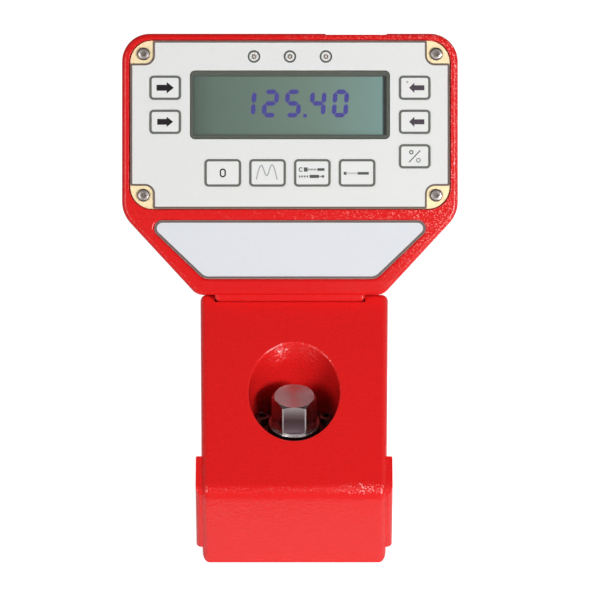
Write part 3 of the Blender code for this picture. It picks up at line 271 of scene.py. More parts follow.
def strip(points, width):
    # a line of even width with square ends, as one closed loop
    left, right = [], []
    for i, point in enumerate(points):
        here = Vector(point)
        before = Vector(points[max(i - 1, 0)])
        after = Vector(points[min(i + 1, len(points) - 1)])
        along = (after - before).normalized()
        side = Vector((-along.y, along.x)) * width / 2
        left.append(here + side)
        right.append(here - side)
    return right + left[::-1]


def add(obj, body, slotName, *nodes):
    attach(obj, body)
    if nodes:
        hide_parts(*nodes)
    return obj


# materials

def newMaterial(name, colour, roughness, metallic=0.0, **extra):
    made = bpy.data.materials.new(name)
    made.use_nodes = True
    shader = made.node_tree.nodes["Principled BSDF"]
    shader.inputs["Base Color"].default_value = (*colour, 1)
    shader.inputs["Roughness"].default_value = roughness
    shader.inputs["Metallic"].default_value = metallic
    for key, value in extra.items():
        shader.inputs[key.replace("_", " ")].default_value = value
    return made


def objectSpace(material, scale=(1, 1, 1), centre=(0, 0, 0), turn=(0, 0, 0)):
    nodes, links = material.node_tree.nodes, material.node_tree.links
    spot = nodes.new("ShaderNodeTexCoord")
    mapping = nodes.new("ShaderNodeMapping")
    mapping.inputs["Location"].default_value = [-c * s for c, s in zip(centre, scale)]
    mapping.inputs["Rotation"].default_value = turn
    mapping.inputs["Scale"].default_value = scale
    links.new(spot.outputs["Object"], mapping.inputs["Vector"])
    return mapping


def noise(material, mapping, scale, detail=2.0, rough=0.5):
    node = material.node_tree.nodes.new("ShaderNodeTexNoise")
    node.inputs["Scale"].default_value = scale
    node.inputs["Detail"].default_value = detail
    node.inputs["Roughness"].default_value = rough
    material.node_tree.links.new(mapping.outputs["Vector"], node.inputs["Vector"])
    return node.outputs["Fac"]


def bump(material, height, strength, distance, under=None):
    nodes, links = material.node_tree.nodes, material.node_tree.links
    node = nodes.new("ShaderNodeBump")
    node.inputs["Strength"].default_value = strength
    node.inputs["Distance"].default_value = distance
    links.new(height, node.inputs["Height"])
    if under:
        links.new(under.outputs["Normal"], node.inputs["Normal"])
    links.new(node.outputs["Normal"], nodes["Principled BSDF"].inputs["Normal"])
    return node


def span(material, value, low, high, fromLow=0.3, fromHigh=0.7):
    node = material.node_tree.nodes.new("ShaderNodeMapRange")
    node.inputs["From Min"].default_value = fromLow
    node.inputs["From Max"].default_value = fromHigh
    node.inputs["To Min"].default_value = low
    node.inputs["To Max"].default_value = high
    material.node_tree.links.new(value, node.inputs["Value"])
    return node.outputs["Result"]


def ramp(material, value, stops):
    node = material.node_tree.nodes.new("ShaderNodeValToRGB")
    while len(node.color_ramp.elements) < len(stops):
        node.color_ramp.elements.new(0.5)
    for element, (position, colour) in zip(node.color_ramp.elements, stops):
        element.position = position
        element.color = (*colour, 1)
    material.node_tree.links.new(value, node.inputs["Fac"])
    return node.outputs["Color"]


def feed(material, value, socket):
    material.node_tree.links.new(value, material.node_tree.nodes["Principled BSDF"].inputs[socket])


def cells(material, mapping, scale):
    # soft domes, one to a cell
    node = material.node_tree.nodes.new("ShaderNodeTexVoronoi")
    node.feature = "SMOOTH_F1"
    node.inputs["Scale"].default_value = scale
    node.inputs["Smoothness"].default_value = 0.5
    material.node_tree.links.new(mapping.outputs["Vector"], node.inputs["Vector"])
    return node.outputs["Distance"]


def axisTone(material, axis, start, end, turn=(0, 0, 0)):
    # 0 to 1 along one axis
    axes = material.node_tree.nodes.new("ShaderNodeSeparateXYZ")
    material.node_tree.links.new(objectSpace(material, turn=turn).outputs["Vector"], axes.inputs["Vector"])
    return span(material, axes.outputs[axis], 0, 1, start, end)


def makePowder(name, peel, depth, gloss=0.17):
    # red powder coat with a fine orange peel
    material = newMaterial(name, (0.70, 0.012, 0.012), gloss)
    space = objectSpace(material)
    tone = noise(material, space, 90, 3)
    feed(material, ramp(material, tone, [(0.3, (0.68, 0.010, 0.010)), (0.7, (0.72, 0.013, 0.013))]), "Base Color")
    feed(material, span(material, noise(material, space, 400, 2), gloss * 0.85, gloss * 1.2), "Roughness")
    fine = bump(material, cells(material, space, peel), 1.0, depth)
    bump(material, noise(material, space, peel / 4, 2), 0.1, 0.0006, fine)
    return material


def nodeMath(material, operation, first, second, third=0.0):
    node = material.node_tree.nodes.new("ShaderNodeMath")
    node.operation = operation
    for socket, value in zip(node.inputs, (first, second, third)):
        if isinstance(value, float):
            socket.default_value = value
        else:
            material.node_tree.links.new(value, socket)
    return node.outputs["Value"]


def softField(material, limits):
    # 1 inside a soft-edged box of the object's space; limits hold axis, start, end and softness
    total = 1.0
    for axis, start, end, soft in limits:
        rise = axisTone(material, axis, start - soft, start + soft)
        fall = axisTone(material, axis, end + soft, end - soft)
        total = nodeMath(material, "MULTIPLY", total, nodeMath(material, "MULTIPLY", rise, fall))
    return total


def paintGlints(material, pitch, share, tones):
    # painted highlights: pale specks in the base colour stand in for the peel catching the light, more of them where
    # share is high
    space = objectSpace(material)
    peak = span(material, cells(material, space, 1 / pitch), 1.0, -0.1, 0.05, 0.60)
    broken = nodeMath(material, "ADD", peak, span(material, noise(material, space, 0.5 / pitch), -0.3, 0.3))
    amount = nodeMath(material, "MULTIPLY", broken, share)
    feed(material, ramp(material, amount, list(zip((0, 0.25, 0.6, 1), tones))), "Base Color")


def makePlain(name, colour, roughness, grain, strength, metallic=0.0, vary=0.06, **extra):
    # an even finish with a fine grain in tone, gloss and surface
    material = newMaterial(name, colour, roughness, metallic, **extra)
    space = objectSpace(material)
    tone = noise(material, space, grain / 5, 3)
    low = [c * (1 - vary) for c in colour]
    high = [min(c * (1 + vary), 1) for c in colour]
    feed(material, ramp(material, tone, [(0.3, low), (0.7, high)]), "Base Color")
    feed(material, span(material, noise(material, space, grain), roughness * 0.85, roughness * 1.15), "Roughness")
    bump(material, noise(material, space, grain, 2), strength, 0.0001)
    return material


def makePrint(name, colour):
    return makePlain(name, colour, 0.5, 3000, 0.1, Specular_IOR_Level=0.2)


def makeBrushed(name, colour, roughness, stretch, strength=0.15, **extra):
    # metal with fine lines along the axis whose stretch is small
    material = newMaterial(name, colour, roughness, 1.0, **extra)
    space = objectSpace(material, stretch)
    lines = noise(material, space, 1, 3, 0.6)
    feed(material, ramp(material, lines, [(0.3, [c * 0.86 for c in colour]), (0.7, [min(c * 1.1, 1) for c in colour])]),
         "Base Color")
    feed(material, span(material, lines, roughness * 0.8, roughness * 1.25), "Roughness")
    bump(material, lines, strength, 0.00005)
    return material


noGlint = [(0.70, 0.012, 0.012), (0.70, 0.012, 0.012)]
powderRed = makePowder("powderRed", 700, 0.00028)
# painted highlights on the body: pale specks along the right end of the bend from the slope to the front
bendPaintedGlints = [("X", 0.030, 0.062, 0.014), ("Y", -0.066, -0.052, 0.001), ("Z", 0.0575, 0.0632, 0.001)]
paintGlints(powderRed, 0.0013, softField(powderRed, bendPaintedGlints), noGlint + [(0.86, 0.22, 0.22), (0.98, 0.68, 0.68)])

# painted highlights on the head: pale specks of the peel on its front alone, fewer at the left and near its foot
headRed = makePowder("headRed", 700, 0.00010, 0.22)
headRed.node_tree.nodes["Principled BSDF"].inputs["Specular IOR Level"].default_value = 0.35
across = span(headRed, axisTone(headRed, "X", -0.12, 0.115), 0.34, 1.0, 0.25, 0.95)
frontDepth = headFoot.dot(into) + 0.012
frontEnd = axisTone(headRed, "Y", frontDepth + 0.006, frontDepth - 0.006, (form["tilt"], 0, 0))
frontFace = span(headRed, frontEnd, 0.12, 1.0, 0, 1)
higher = span(headRed, axisTone(headRed, "Z", 0, 1), 0.1, 1.0, 0.128, 0.168)
headPaintedGlints = nodeMath(headRed, "MULTIPLY", nodeMath(headRed, "MULTIPLY", across, frontFace), higher)
headGlintTones = [(0.66, 0.008, 0.008), (0.64, 0.012, 0.012), (0.80, 0.11, 0.10), (0.92, 0.40, 0.38)]
paintGlints(headRed, 0.0011, headPaintedGlints, headGlintTones)

# the well has one painted highlight at its back, and painted shade darkens its wall towards the floor
wellRedShadeAndGlint = makePowder("wellRedShadeAndGlint", 700, 0.0003)
wellPaintedGlints = [("X", -0.013, -0.003, 0.003), ("Y", 0.015, 0.040, 0.001), ("Z", 0.105, 0.115, 0.003)]
paintGlints(wellRedShadeAndGlint, 0.0013, softField(wellRedShadeAndGlint, wellPaintedGlints), noGlint + [(0.90, 0.30, 0.30), (0.98, 0.75, 0.75)])
wellNodes, wellLinks = wellRedShadeAndGlint.node_tree.nodes, wellRedShadeAndGlint.node_tree.links
# painted shade: the wall's colour is multiplied down towards the floor of the well
deep = wellNodes.new("ShaderNodeMixRGB")
deep.blend_type = "MULTIPLY"
deep.inputs["Fac"].default_value = 1
wellShadeTones = [(0, (0.55, 0.55, 0.55)), (0.45, (0.50, 0.50, 0.50)), (1, (1, 1, 1))]
wellLinks.new(wellNodes["Principled BSDF"].inputs["Base Color"].links[0].from_socket, deep.inputs["Color1"])
wellLinks.new(ramp(wellRedShadeAndGlint, axisTone(wellRedShadeAndGlint, "Z", 0.056, 0.084), wellShadeTones), deep.inputs["Color2"])
feed(wellRedShadeAndGlint, deep.outputs["Color"], "Base Color")

hexSteel = makeBrushed("hexSteel", (0.42, 0.38, 0.39), 0.24, (900, 900, 90), 0.08)
# a lighter steel as painted highlight, for the rounded edges beside the front flat and the front of the collar's top
edgeHighlightSteel = makePlain("edgeHighlightSteel", (0.66, 0.63, 0.63), 0.35, 2500, 0.05, 0.4)
# painted reflection on the front flat of the hexagon: light at its top, dark in the middle and a little lighter at its
# foot
flatReflectionSteel = makeBrushed("flatReflectionSteel", (0.42, 0.38, 0.39), 0.35, (900, 900, 90), 0.2)
flatReflectionSteel.node_tree.nodes["Principled BSDF"].inputs["Metallic"].default_value = 0.6
flatReflectionTones = [(0, (0.34, 0.26, 0.29)), (0.2, (0.24, 0.17, 0.20)), (0.5, (0.14, 0.09, 0.10)), (0.72, (0.28, 0.22, 0.23)),
             (1, (0.58, 0.55, 0.56))]
feed(flatReflectionSteel, ramp(flatReflectionSteel, axisTone(flatReflectionSteel, "Z", 0.071, 0.093), flatReflectionTones), "Base Color")
topSteel = makePlain("topSteel", (0.46, 0.41, 0.42), 0.32, 2500, 0.05, 0.85, Anisotropic=0.85)
tangent = topSteel.node_tree.nodes.new("ShaderNodeTangent")  # turned end, the grain runs round the drive axis
tangent.direction_type = "RADIAL"
tangent.axis = "Z"
feed(topSteel, tangent.outputs["Tangent"], "Tangent")
# a darker steel as painted shade of the deep well, for the drive below its hexagon and for the screws in the well
wellShadeSteel = makeBrushed("wellShadeSteel", (0.24, 0.20, 0.20), 0.32, (700, 700, 300))
blackSteel = makePlain("blackSteel", (0.016, 0.016, 0.018), 0.42, 2500, 0.3, 0.7)
screwSteel = makePlain("screwSteel", (0.46, 0.41, 0.39), 0.30, 1500, 0.5, 0.75, 0.15)
rimShadeSteel = makePlain("rimShadeSteel", (0.075, 0.055, 0.05), 0.4, 3000, 0.15, 0.3)
socketShadeSteel = makePlain("socketShadeSteel", (0.19, 0.16, 0.14), 0.4, 3000, 0.15, 0.4)
zincSteel = makeBrushed("zincSteel", (0.56, 0.57, 0.60), 0.38, (60, 900, 60))
goldZinc = makePlain("goldZinc", (0.92, 0.76, 0.46), 0.42, 1800, 0.15, 0.35, 0.08)
overlayFilm = makePlain("overlayFilm", (0.675, 0.68, 0.67), 0.42, 2600, 0.12, vary=0.01, Specular_IOR_Level=0.2)
keyFilm = makePlain("keyFilm", (0.69, 0.695, 0.685), 0.4, 2600, 0.12, vary=0.01, Specular_IOR_Level=0.2)
labelFilm = makePlain("labelFilm", (0.64, 0.655, 0.69), 0.3, 2200, 0.06, vary=0.01, Specular_IOR_Level=0.2)
printGrey = makePrint("printGrey", (0.118, 0.126, 0.108))
printDark = makePrint("printDark", (0.075, 0.085, 0.080))
printBrown = makePrint("printBrown", (0.145, 0.105, 0.090))
printPale = makePrint("printPale", (0.34, 0.35, 0.35))
lensFilm = makePlain("lensFilm", (0.64, 0.63, 0.59), 0.35, 2600, 0.1, vary=0.03)
printBlack = makePrint("printBlack", (0.010, 0.007, 0.010))
printPlum = makePrint("printPlum", (0.06, 0.045, 0.06))
bezelOlive = makePlain("bezelOlive", (0.082, 0.088, 0.072), 0.5, 2500, 0.1, Specular_IOR_Level=0.2)
lcdGlass = makePlain("lcdGlass", (0.12, 0.18, 0.15), 0.3, 2500, 0.02)
# the glass is painted darker at its left edge as shade of the frame, and grows lighter towards the right
glassShadeTones = [(0, (0.072, 0.105, 0.085)), (0.10, (0.105, 0.160, 0.128)), (0.6, (0.150, 0.222, 0.180)),
              (1, (0.185, 0.310, 0.285))]
feed(lcdGlass, ramp(lcdGlass, axisTone(lcdGlass, "X", -0.068, 0.062), glassShadeTones), "Base Color")
lcdInk = makePlain("lcdInk", (0.055, 0.040, 0.30), 0.4, 3000, 0.05, Specular_IOR_Level=0.2)
blackRubber = makePlain("blackRubber", (0.02, 0.02, 0.022), 0.5, 1500, 0.3)
blackPlastic = makePlain("blackPlastic", (0.018, 0.018, 0.02), 0.38, 2200, 0.25)
connectorSteel = makePlain("connectorSteel", (0.62, 0.62, 0.60), 0.3, 2600, 0.1, 1.0)
boardGreen = makePlain("boardGreen", (0.02, 0.16, 0.06), 0.4, 1500, 0.2)
batteryWrap = makePlain("batteryWrap", (0.04, 0.08, 0.30), 0.35, 900, 0.1)
ledGrey = makePlain("ledGrey", (0.50, 0.45, 0.41), 0.25, 2500, 0.05)
paneClear = makePlain("paneClear", (0.20, 0.24, 0.21), 0.10, 900, 0.02, vary=0.02, Alpha=0.06)
print("materials ready")

# body casting: sloping face, well, side bosses, cheeks under the head
body = {
    "width": 0.124, "topWidth": 0.1282, "wall": 0.006, "nose": 0.012, "edge": 0.0044, "foot": 0.0065, "rear": 0.008,
    "cheek": 0.0098, "cheekRise": 0.0004, "cheekMore": 0.0058, "seatLip": 0.009, "seatOver": 0.002,
    "well": 0.0308, "lip": 0.0014, "wellWall": 0.005, "floor": 0.052, "floorThick": 0.012, "spigotHole": 0.0186,
    "capCircle": 0.025, "capHole": 0.0028,
    "bossProud": 0.0042, "bossInset": 0.0023, "bossDepth": 0.0226, "bossBottom": 0.0115, "bossEdge": 0.0006,
    "bossRound": 0.0042, "bossRear": 0.001,
    "plate": 0.008, "plateMargin": 0.010, "plateLedge": 0.012, "ledge": 0.008, "plateRadius": 0.008,
    "screwX": 0.046, "screwIn": 0.016, "screwHole": 0.0028,
}
seat = {"boltX": 0.035, "boltY": 0.022, "boltHole": 0.0043, "cableX": 0.012, "cableY": 0.021, "cableHole": 0.004,
        "low": -0.013, "high": 0.0103}
rearSeat = ridge + into * form["seat"]
bodyCorners = [Vector((form["front"], 0)), Vector((rearSeat.x, 0)), rearSeat, ridge,
               Vector((form["front"], form["nose"]))]


def taper(source):
    gain = (body["topWidth"] / body["width"] - 1) / form["run"]
    for vert in source.verts:
        vert.co.x *= 1 + gain * (vert.co.y - form["front"])


def bodyBlock():
    corners = insetLoop(bodyCorners, [0, 0, -form["cheek"] - body["cheekRise"], 0, 0])
    loop = roundLoop(corners, [0, 0, body["rear"], body["edge"], body["nose"]], 12)
    source = bmesh.new()
    sweep(source, loop, "X", -body["width"] / 2, body["width"] / 2)
    taper(source)
    weight = source.edges.layers.float.new("bevel_weight_edge")
    for edge in source.edges:
        a, b = (v.co for v in edge.verts)
        if a.x * b.x > 0:
            edge[weight] = 1.0 if max(a.z, b.z) < 0.0001 else body["edge"] / body["foot"]
    block = finishMesh("bodyCasting", source, powderRed)
    soft = block.modifiers.new("soft", "BEVEL")
    soft.width = body["foot"]
    soft.segments = 7
    soft.limit_method = "WEIGHT"
    return block


def bossTool(side):
    front = form["front"] + body["bossInset"]
    rear = front + body["bossDepth"]
    drop = body["bossInset"] / math.cos(form["slope"])
    corners = [(front, body["bossBottom"]), (rear, body["bossBottom"]), (rear, slopeHeight(rear) - drop),
               (front, slopeHeight(front) - drop)]
    loop = roundLoop(corners, [0, 0, 0, body["nose"] - body["bossInset"]], 12)
    ends = sorted((side * (body["width"] / 2 - body["wall"] / 2), side * (body["width"] / 2 + body["bossProud"])))
    radii = [0, body["bossRound"], body["bossRear"], 0] if side > 0 else [body["bossRound"], 0, 0, body["bossRear"]]
    plan = roundLoop(boxCorners(ends[0], front, ends[1], rear), radii, 8)
    boss = prism("boss", [plan], "Z", 0.005, 0.1)
    cutter = prism("bossShape", [loop], "X", ends[0] - 0.001, ends[1] + 0.001)
    bake(carve(boss, [cutter], "INTERSECT"), [cutter], weighted=False)
    return bevelEdges(boss, body["bossEdge"], 3, 60)


def slopeRing(radius, drop, steps=128):
    # a ring round the well that follows the slope, drop below it
    return [(p.x, p.y, slopeHeight(p.y) - drop) for p in ringLoop(0, 0, radius, steps)]


def wellTool(steps=128):
    well, lip = body["well"], body["lip"]
    rings = [[(p.x, p.y, body["floor"]) for p in ringLoop(0, 0, well, steps)], slopeRing(well, lip)]
    for degrees in range(12, 84, 12):
        turn = math.radians(degrees)
        rings.append(slopeRing(well + lip * (1 - math.cos(turn)), lip * (1 - math.sin(turn))))
    rings.append(slopeRing(well + lip * (1 - math.cos(turn)), -4 * lip))
    return skin("wellTool", rings)


def seatTool():
    half = body["topWidth"] / 2 - body["cheek"]
    lowFront = ridge - into * form["overhang"]
    lowRear = rearSeat - into * body["seatLip"]
    lift = upHead * (form["cheek"] + body["seatOver"])
    outline = [lowFront, lowRear, lowRear + lift, lowFront + lift]
    return prism("seatTool", [outline], "X", -half, half - body["cheekMore"])


def plateLoop(shrink, steps=6):
    half = body["width"] / 2 - body["plateMargin"] - shrink
    front = form["front"] + body["plateMargin"] + shrink
    rear = rearSeat.x - body["plateMargin"] - shrink
    return roundLoop(boxCorners(-half, front, half, rear), [body["plateRadius"]] * 4, steps)


def cavityTool():
    floor = body["plate"] + form["gap"] + body["ledge"]
    corners = [Vector((form["front"], floor)), Vector((rearSeat.x, floor))] + bodyCorners[2:]
    inner = insetLoop(corners, [0] + [body["wall"]] * 4)
    half = body["width"] / 2 - body["wall"]
    cavity = prism("cavityTool", [inner], "X", -half, half)
    outer = body["well"] + body["wellWall"]
    bottom = body["floor"] - body["floorThick"]
    tube = prism("tube", [ringLoop(0, 0, outer, 64)], "Z", bottom, slopeHeight(outer))
    carve(cavity, [tube])
    return bake(cavity, [tube], weighted=False)


def seatHoles():
    # two bolts and the cable pass from the body into the foot of the head
    loops = [ringLoop(side * seat["boltX"], seat["boltY"], seat["boltHole"], 24) for side in (-1, 1)]
    loops.append(ringLoop(seat["cableX"], seat["cableY"], seat["cableHole"], 24))
    return prism("seatHoles", loops, "Z", seat["low"], seat["high"])


plateEnds = form["front"] + body["screwIn"], rearSeat.x - body["screwIn"]
plateScrews = [(side * body["screwX"], y) for side in (-1, 1) for y in plateEnds]
capTurns = [math.radians(30 + 60 * k) for k in range(6)]
capSpots = [(body["capCircle"] * math.cos(t), body["capCircle"] * math.sin(t)) for t in capTurns]
bodyPiece = bodyBlock()
bosses = [bossTool(-1), bossTool(1)]
carve(bodyPiece, bosses, "UNION")
floorHoles = [ringLoop(0, 0, body["spigotHole"], 48)] + [ringLoop(x, y, body["capHole"], 16) for x, y in capSpots]
bodyTools = [  # each reaches a little past what it cuts
    seatTool(), cavityTool(), wellTool(),
    prism("pocketTool", [plateLoop(-form["gap"])], "Z", -0.002, body["plate"] + form["gap"]),
    prism("openingTool", [plateLoop(body["plateLedge"])], "Z", 0.006, 0.0185),
    prism("floorTool", floorHoles, "Z", 0.038, 0.054),
    prism("plateScrewTool", [ringLoop(x, y, body["screwHole"], 16) for x, y in plateScrews], "Z", 0.006, 0.018),
    place(seatHoles(), headPlace),
]
carve(bodyPiece, bodyTools)
bake(bodyPiece, bosses + bodyTools)
# the well's wall, from its floor up to the lip, takes the red with painted shade and a painted highlight
bodyPiece.data.materials.append(wellRedShadeAndGlint)
for face in bodyPiece.data.polygons:
    spot = face.center
    inWell = math.hypot(spot.x, spot.y) < body["well"] + 0.0005
    if inWell and body["floor"] - 0.001 < spot.z < slopeHeight(spot.y) - body["lip"]:
        face.material_index = 1
add(bodyPiece, "tester", "painted_red", "body_casting")
print("body casting:", len(bodyPiece.data.polygons), "faces")

# display head casting, built in its own space: x across, y into the head, z up its face
head = {
    "half": 0.1145, "height": 0.1782, "shoulder": 0.0552, "foot": 0.0635, "depth": 0.048, "edge": 0.003,
    "radii": (0.010, 0.022, 0.019), "rearWall": 0.005,
    "padHalf": 0.0512, "padFront": 0.0034, "padDepth": 0.0376, "padRadius": 0.0035, "padEdge": 0.0021,
    "panelHalf": 0.1089, "panelBottom": 0.0587, "panelTop": 0.1734, "panelRadius": 0.015, "panelGap": 0.0006,
    "ledge": 0.0043, "screwX": 0.0997, "screwIn": 0.0092, "screwHole": 0.0023, "screwDeep": 0.0143,
    "portX": 0.0448, "portY": 0.031, "portWidth": 0.0422, "portFront": 0.020, "portDeep": 0.006,
    "label": [(-0.0588, 0.0110), (0.0588, 0.0110), (0.1006, 0.0509), (-0.1006, 0.0509)],
    "labelRadii": (0.009, 0.009, 0.0055, 0.0055), "labelRecess": 0.0016, "labelGap": 0.0002, "labelLine": 0.0017,
    "rearX": -0.060, "inletZ": 0.085, "inletHole": 0.0058, "switchZ": 0.118, "switchHole": (0.0131, 0.0191),
    "flat": (0.0243, 0.0658, 0.0008, 0.0202),
}


def headCorners():
    wide, foot = head["half"], head["foot"]
    shoulder, high = head["shoulder"], head["height"]
    return [(-foot, 0), (foot, 0), (wide, shoulder), (wide, high), (-wide, high), (-wide, shoulder)]


def headLoop(less, steps=14):
    foot, shoulder, top = (max(r - less, 0.001) for r in head["radii"])
    return roundLoop(insetLoop(headCorners(), [less] * 6), [foot, foot, shoulder, top, top, shoulder], steps)


def labelLoop(shrink, steps=10):
    radii = [max(r - shrink, 0.0008) for r in head["labelRadii"]]
    return roundLoop(insetLoop(head["label"], [shrink] * 4), radii, steps)


def panelLoop(grow, steps=14):
    half, radius = head["panelHalf"] + grow, head["panelRadius"] + grow
    return roundLoop(boxCorners(-half, head["panelBottom"] - grow, half, head["panelTop"] + grow), [radius] * 4, steps)


def lippedTool(name, loopAt, depth, lip, drop):
    # a recess whose mouth is rounded, lip wide and drop deep; loopAt(grow) gives its outline
    sections = [(-0.004, loopAt(lip)), (0, loopAt(lip))]
    for degrees in (15, 30, 45, 60, 75, 90):
        turn = math.radians(degrees)
        sections.append((drop * (1 - math.cos(turn)), loopAt(lip * (1 - math.sin(turn)))))
    sections.append((depth, loopAt(0)))
    return skin(name, [[(p[0], y, p[1]) for p in loop] for y, loop in sections])


def headBlock():
    block = prism("headCasting", [headLoop(0)], "Y", 0, head["depth"], headRed)
    bevelEdges(block, head["edge"], 6, 60)
    half, front = head["padHalf"], head["padFront"]
    loop = roundLoop(boxCorners(-half, -form["cheek"], half, 0.003), [head["padRadius"]] * 2 + [0, 0], 8)
    pad = prism("pad", [loop], "Y", front, front + head["padDepth"])
    return block, bevelEdges(pad, head["padEdge"], 6, 60)


headPiece, padTool = headBlock()
carve(headPiece, [padTool], "UNION")
portHalf, panelHalf = head["portWidth"] / 2, head["panelHalf"]
portLoop = boxCorners(head["portX"] - portHalf, head["height"] - head["portDeep"], head["portX"] + portHalf,
                      head["height"] + 0.002)
innerCorners = insetLoop(headCorners(), [0.008, 0.006, 0.006, 0.1064, 0.006, 0.006])
innerTop = insetLoop(boxCorners(-panelHalf, head["panelBottom"], panelHalf, head["panelTop"]), [0.0186] * 4)
screwHeights = head["panelBottom"] + head["screwIn"], head["panelTop"] - head["screwIn"]
screwSpots = [(side * head["screwX"], z) for z in screwHeights for side in (-1, 1)]
flatStart, flatEnd, flatDeep, flatRear = head["flat"]
shelf, rearInside, past = head["ledge"] - 0.0002, head["depth"] - head["rearWall"], head["depth"] + 0.002
headTools = [
    lippedTool("panelTool", lambda grow: panelLoop(grow + head["panelGap"]), head["ledge"], 0.0005, 0.0007),
    lippedTool("labelTool", lambda grow: labelLoop(-head["labelGap"] - grow), head["labelRecess"], 0.0020, 0.0013),
    prism("innerTool", [roundLoop(innerTop, [0.003] * 4, 4)], "Y", shelf, rearInside),
    prism("sideTool", [boxCorners(-0.1029, 0.0784, 0.1029, 0.1548)], "Y", shelf, rearInside),
    prism("tallTool", [boxCorners(-0.0903, 0.0658, 0.0903, 0.1674)], "Y", shelf, rearInside),
    prism("lowerTool", [roundLoop(innerCorners, [0.007, 0.007, 0.009, 0, 0, 0.009], 6)], "Y", 0.009, 0.0425),
    prism("portTool", [roundLoop(portLoop, [0.002, 0.002, 0, 0], 6)], "Y", head["portFront"], past),
    prism("screwTool", [ringLoop(x, z, head["screwHole"], 16) for x, z in screwSpots], "Y", 0.002, head["screwDeep"]),
    prism("rearTool", [pillLoop(head["rearX"], head["switchZ"], *head["switchHole"], 0.0005, 3),
                       ringLoop(head["rearX"], head["inletZ"], head["inletHole"], 48)], "Y", 0.041, past),
    prism("flatTool", [boxCorners(flatStart, head["height"] - flatDeep, flatEnd, head["height"] + 0.001)], "Y",
          -0.002, flatRear),
    prism("plugTool", [pillLoop(head["portX"], head["portY"], 0.0176, 0.0090, 0.0015, 4)], "Z", 0.16, head["height"]),
    seatHoles(),
]
carve(headPiece, headTools)
bake(headPiece, headTools + [padTool])
place(headPiece, headPlace)
add(headPiece, "tester", "painted_red", "head_casting")
print("head casting:", len(headPiece.data.polygons), "faces")

# transducer: flange, knurled collar, shank and a chamfered hexagon
drive = {
    "flats": 0.027, "top": 0.093, "foot": 0.072, "shank": 0.0158, "edge": 0.0006,
    "collar": 0.0178, "collarTop": 0.0716, "teeth": 84, "toothFoot": 0.972,
    "flange": 0.0306, "flangeThick": 0.0097, "spigot": 0.018, "spigotLong": 0.028, "cableHole": 0.0035,
    "cableDeep": 0.012,
}


def buildDrive():
    bottom = body["floor"] + form["gap"]
    top = bottom + drive["flangeThick"]
    low = body["floor"] - drive["spigotLong"]
    shank, edge, collar, collarTop = drive["shank"], drive["edge"], drive["collar"], drive["collarTop"]
    flange, spigot, cableHole, cableEnd = drive["flange"], drive["spigot"], drive["cableHole"], low + drive["cableDeep"]
    drop = (shank - drive["flats"] / 2) * math.tan(math.radians(30))
    profile = [(0, drive["top"]), (drive["flats"] / 2, drive["top"]), (shank, drive["top"] - drop), (shank, collarTop),
               (collar - edge, collarTop), (collar, collarTop - edge), (collar, top), (flange - edge, top),
               (flange, top - edge), (flange, bottom), (spigot, bottom), (spigot, low), (cableHole, low),
               (cableHole, cableEnd), (0, cableEnd)]
    made = lathe("driveTransducer", profile, hexSteel, 2 * drive["teeth"])
    knurl(made, drive["teeth"], drive["toothFoot"], shank, collar + edge, top - edge, collarTop)
    ring = prism("ring", [ringLoop(0, 0, 0.034, 48)], "Z", drive["foot"], 0.096)
    sixSides = ringLoop(0, 0, drive["flats"] / math.sqrt(3), 6)
    hexagon = bevelEdges(prism("hexagon", [sixSides], "Z", drive["foot"] - 0.002, 0.098), edge, 3, 50)
    carve(ring, [hexagon])
    bake(ring, [hexagon], weighted=False)
    holes = prism("holes", [ringLoop(x, y, body["capHole"], 24) for x, y in capSpots], "Z", bottom - 0.002, top + 0.002)
    carve(made, [ring, holes])
    bake(made, [ring, holes], angle=28)
    for finish in (wellShadeSteel, topSteel, edgeHighlightSteel, flatReflectionSteel):
        made.data.materials.append(finish)
    for face in made.data.polygons:
        x, y, z = face.center
        out, turn = math.hypot(x, y), math.degrees(math.atan2(face.normal.y, face.normal.x)) % 60
        # below the hexagon: darker steel as painted shade, the front of the collar's top lighter as a painted highlight
        if z < drive["foot"] - 0.0002:
            front = face.normal.z > 0.5 and abs(x) < drive["flats"] / math.sqrt(12) and y < 0
            face.material_index = 3 if front and out < collar else 1
        elif face.normal.z > 0.99 and z > drive["top"] - 0.0005:
            face.material_index = 2
        # the front flat, with its painted reflection
        elif face.normal.y < -0.999:
            face.material_index = 4
        elif y < -0.01 and abs(face.normal.z) < 0.3 and out > 0.0138 and abs(turn - 30) > 5:
            face.material_index = 3  # painted highlights on the rounded edges on either side of the front flat
    return made


drivePiece = buildDrive()
add(drivePiece, "tester", "bright_steel", "transducer")
print("drive:", len(drivePiece.data.polygons), "faces")

# screws with a hexagon socket
driveScrew = {"radius": 0.0025, "length": 0.0177, "headRadius": 0.00425, "headHeight": 0.005, "knurls": 30}
headBolt = {"radius": 0.004, "headRadius": 0.0065, "headHeight": 0.008, "knurls": 36}
panelScrew = {"radius": 0.002, "length": 0.010, "headRadius": 0.00435, "headHeight": 0.0022, "socket": 0.36}


def capScrew(name, finish, radius, length, headRadius, headHeight, knurls=0, toothFoot=0.965, socket=0.52):
    edge = headHeight * (0.1 if knurls else 0.42)
    profile = [(0, -length), (radius - 0.0003, -length), (radius, -length + 0.0003), (radius, 0), (headRadius, 0),
               (headRadius, headHeight - edge), (headRadius - edge * 0.3, headHeight - edge * 0.3),
               (headRadius - edge, headHeight), (0, headHeight)]
    made = lathe(name, profile, finish, max(2 * knurls, 48))
    if knurls:
        knurl(made, knurls, toothFoot, headRadius - edge * 0.5, 2 * headRadius, -0.00001, 2 * headHeight)
    sixSides = ringLoop(0, 0, headRadius * socket * 2 / math.sqrt(3), 6)
    hexagon = prism("socket", [sixSides], "Z", headHeight * 0.42, headHeight + 0.001)
    carve(made, [hexagon])
    return bake(made, [hexagon], weighted=False)


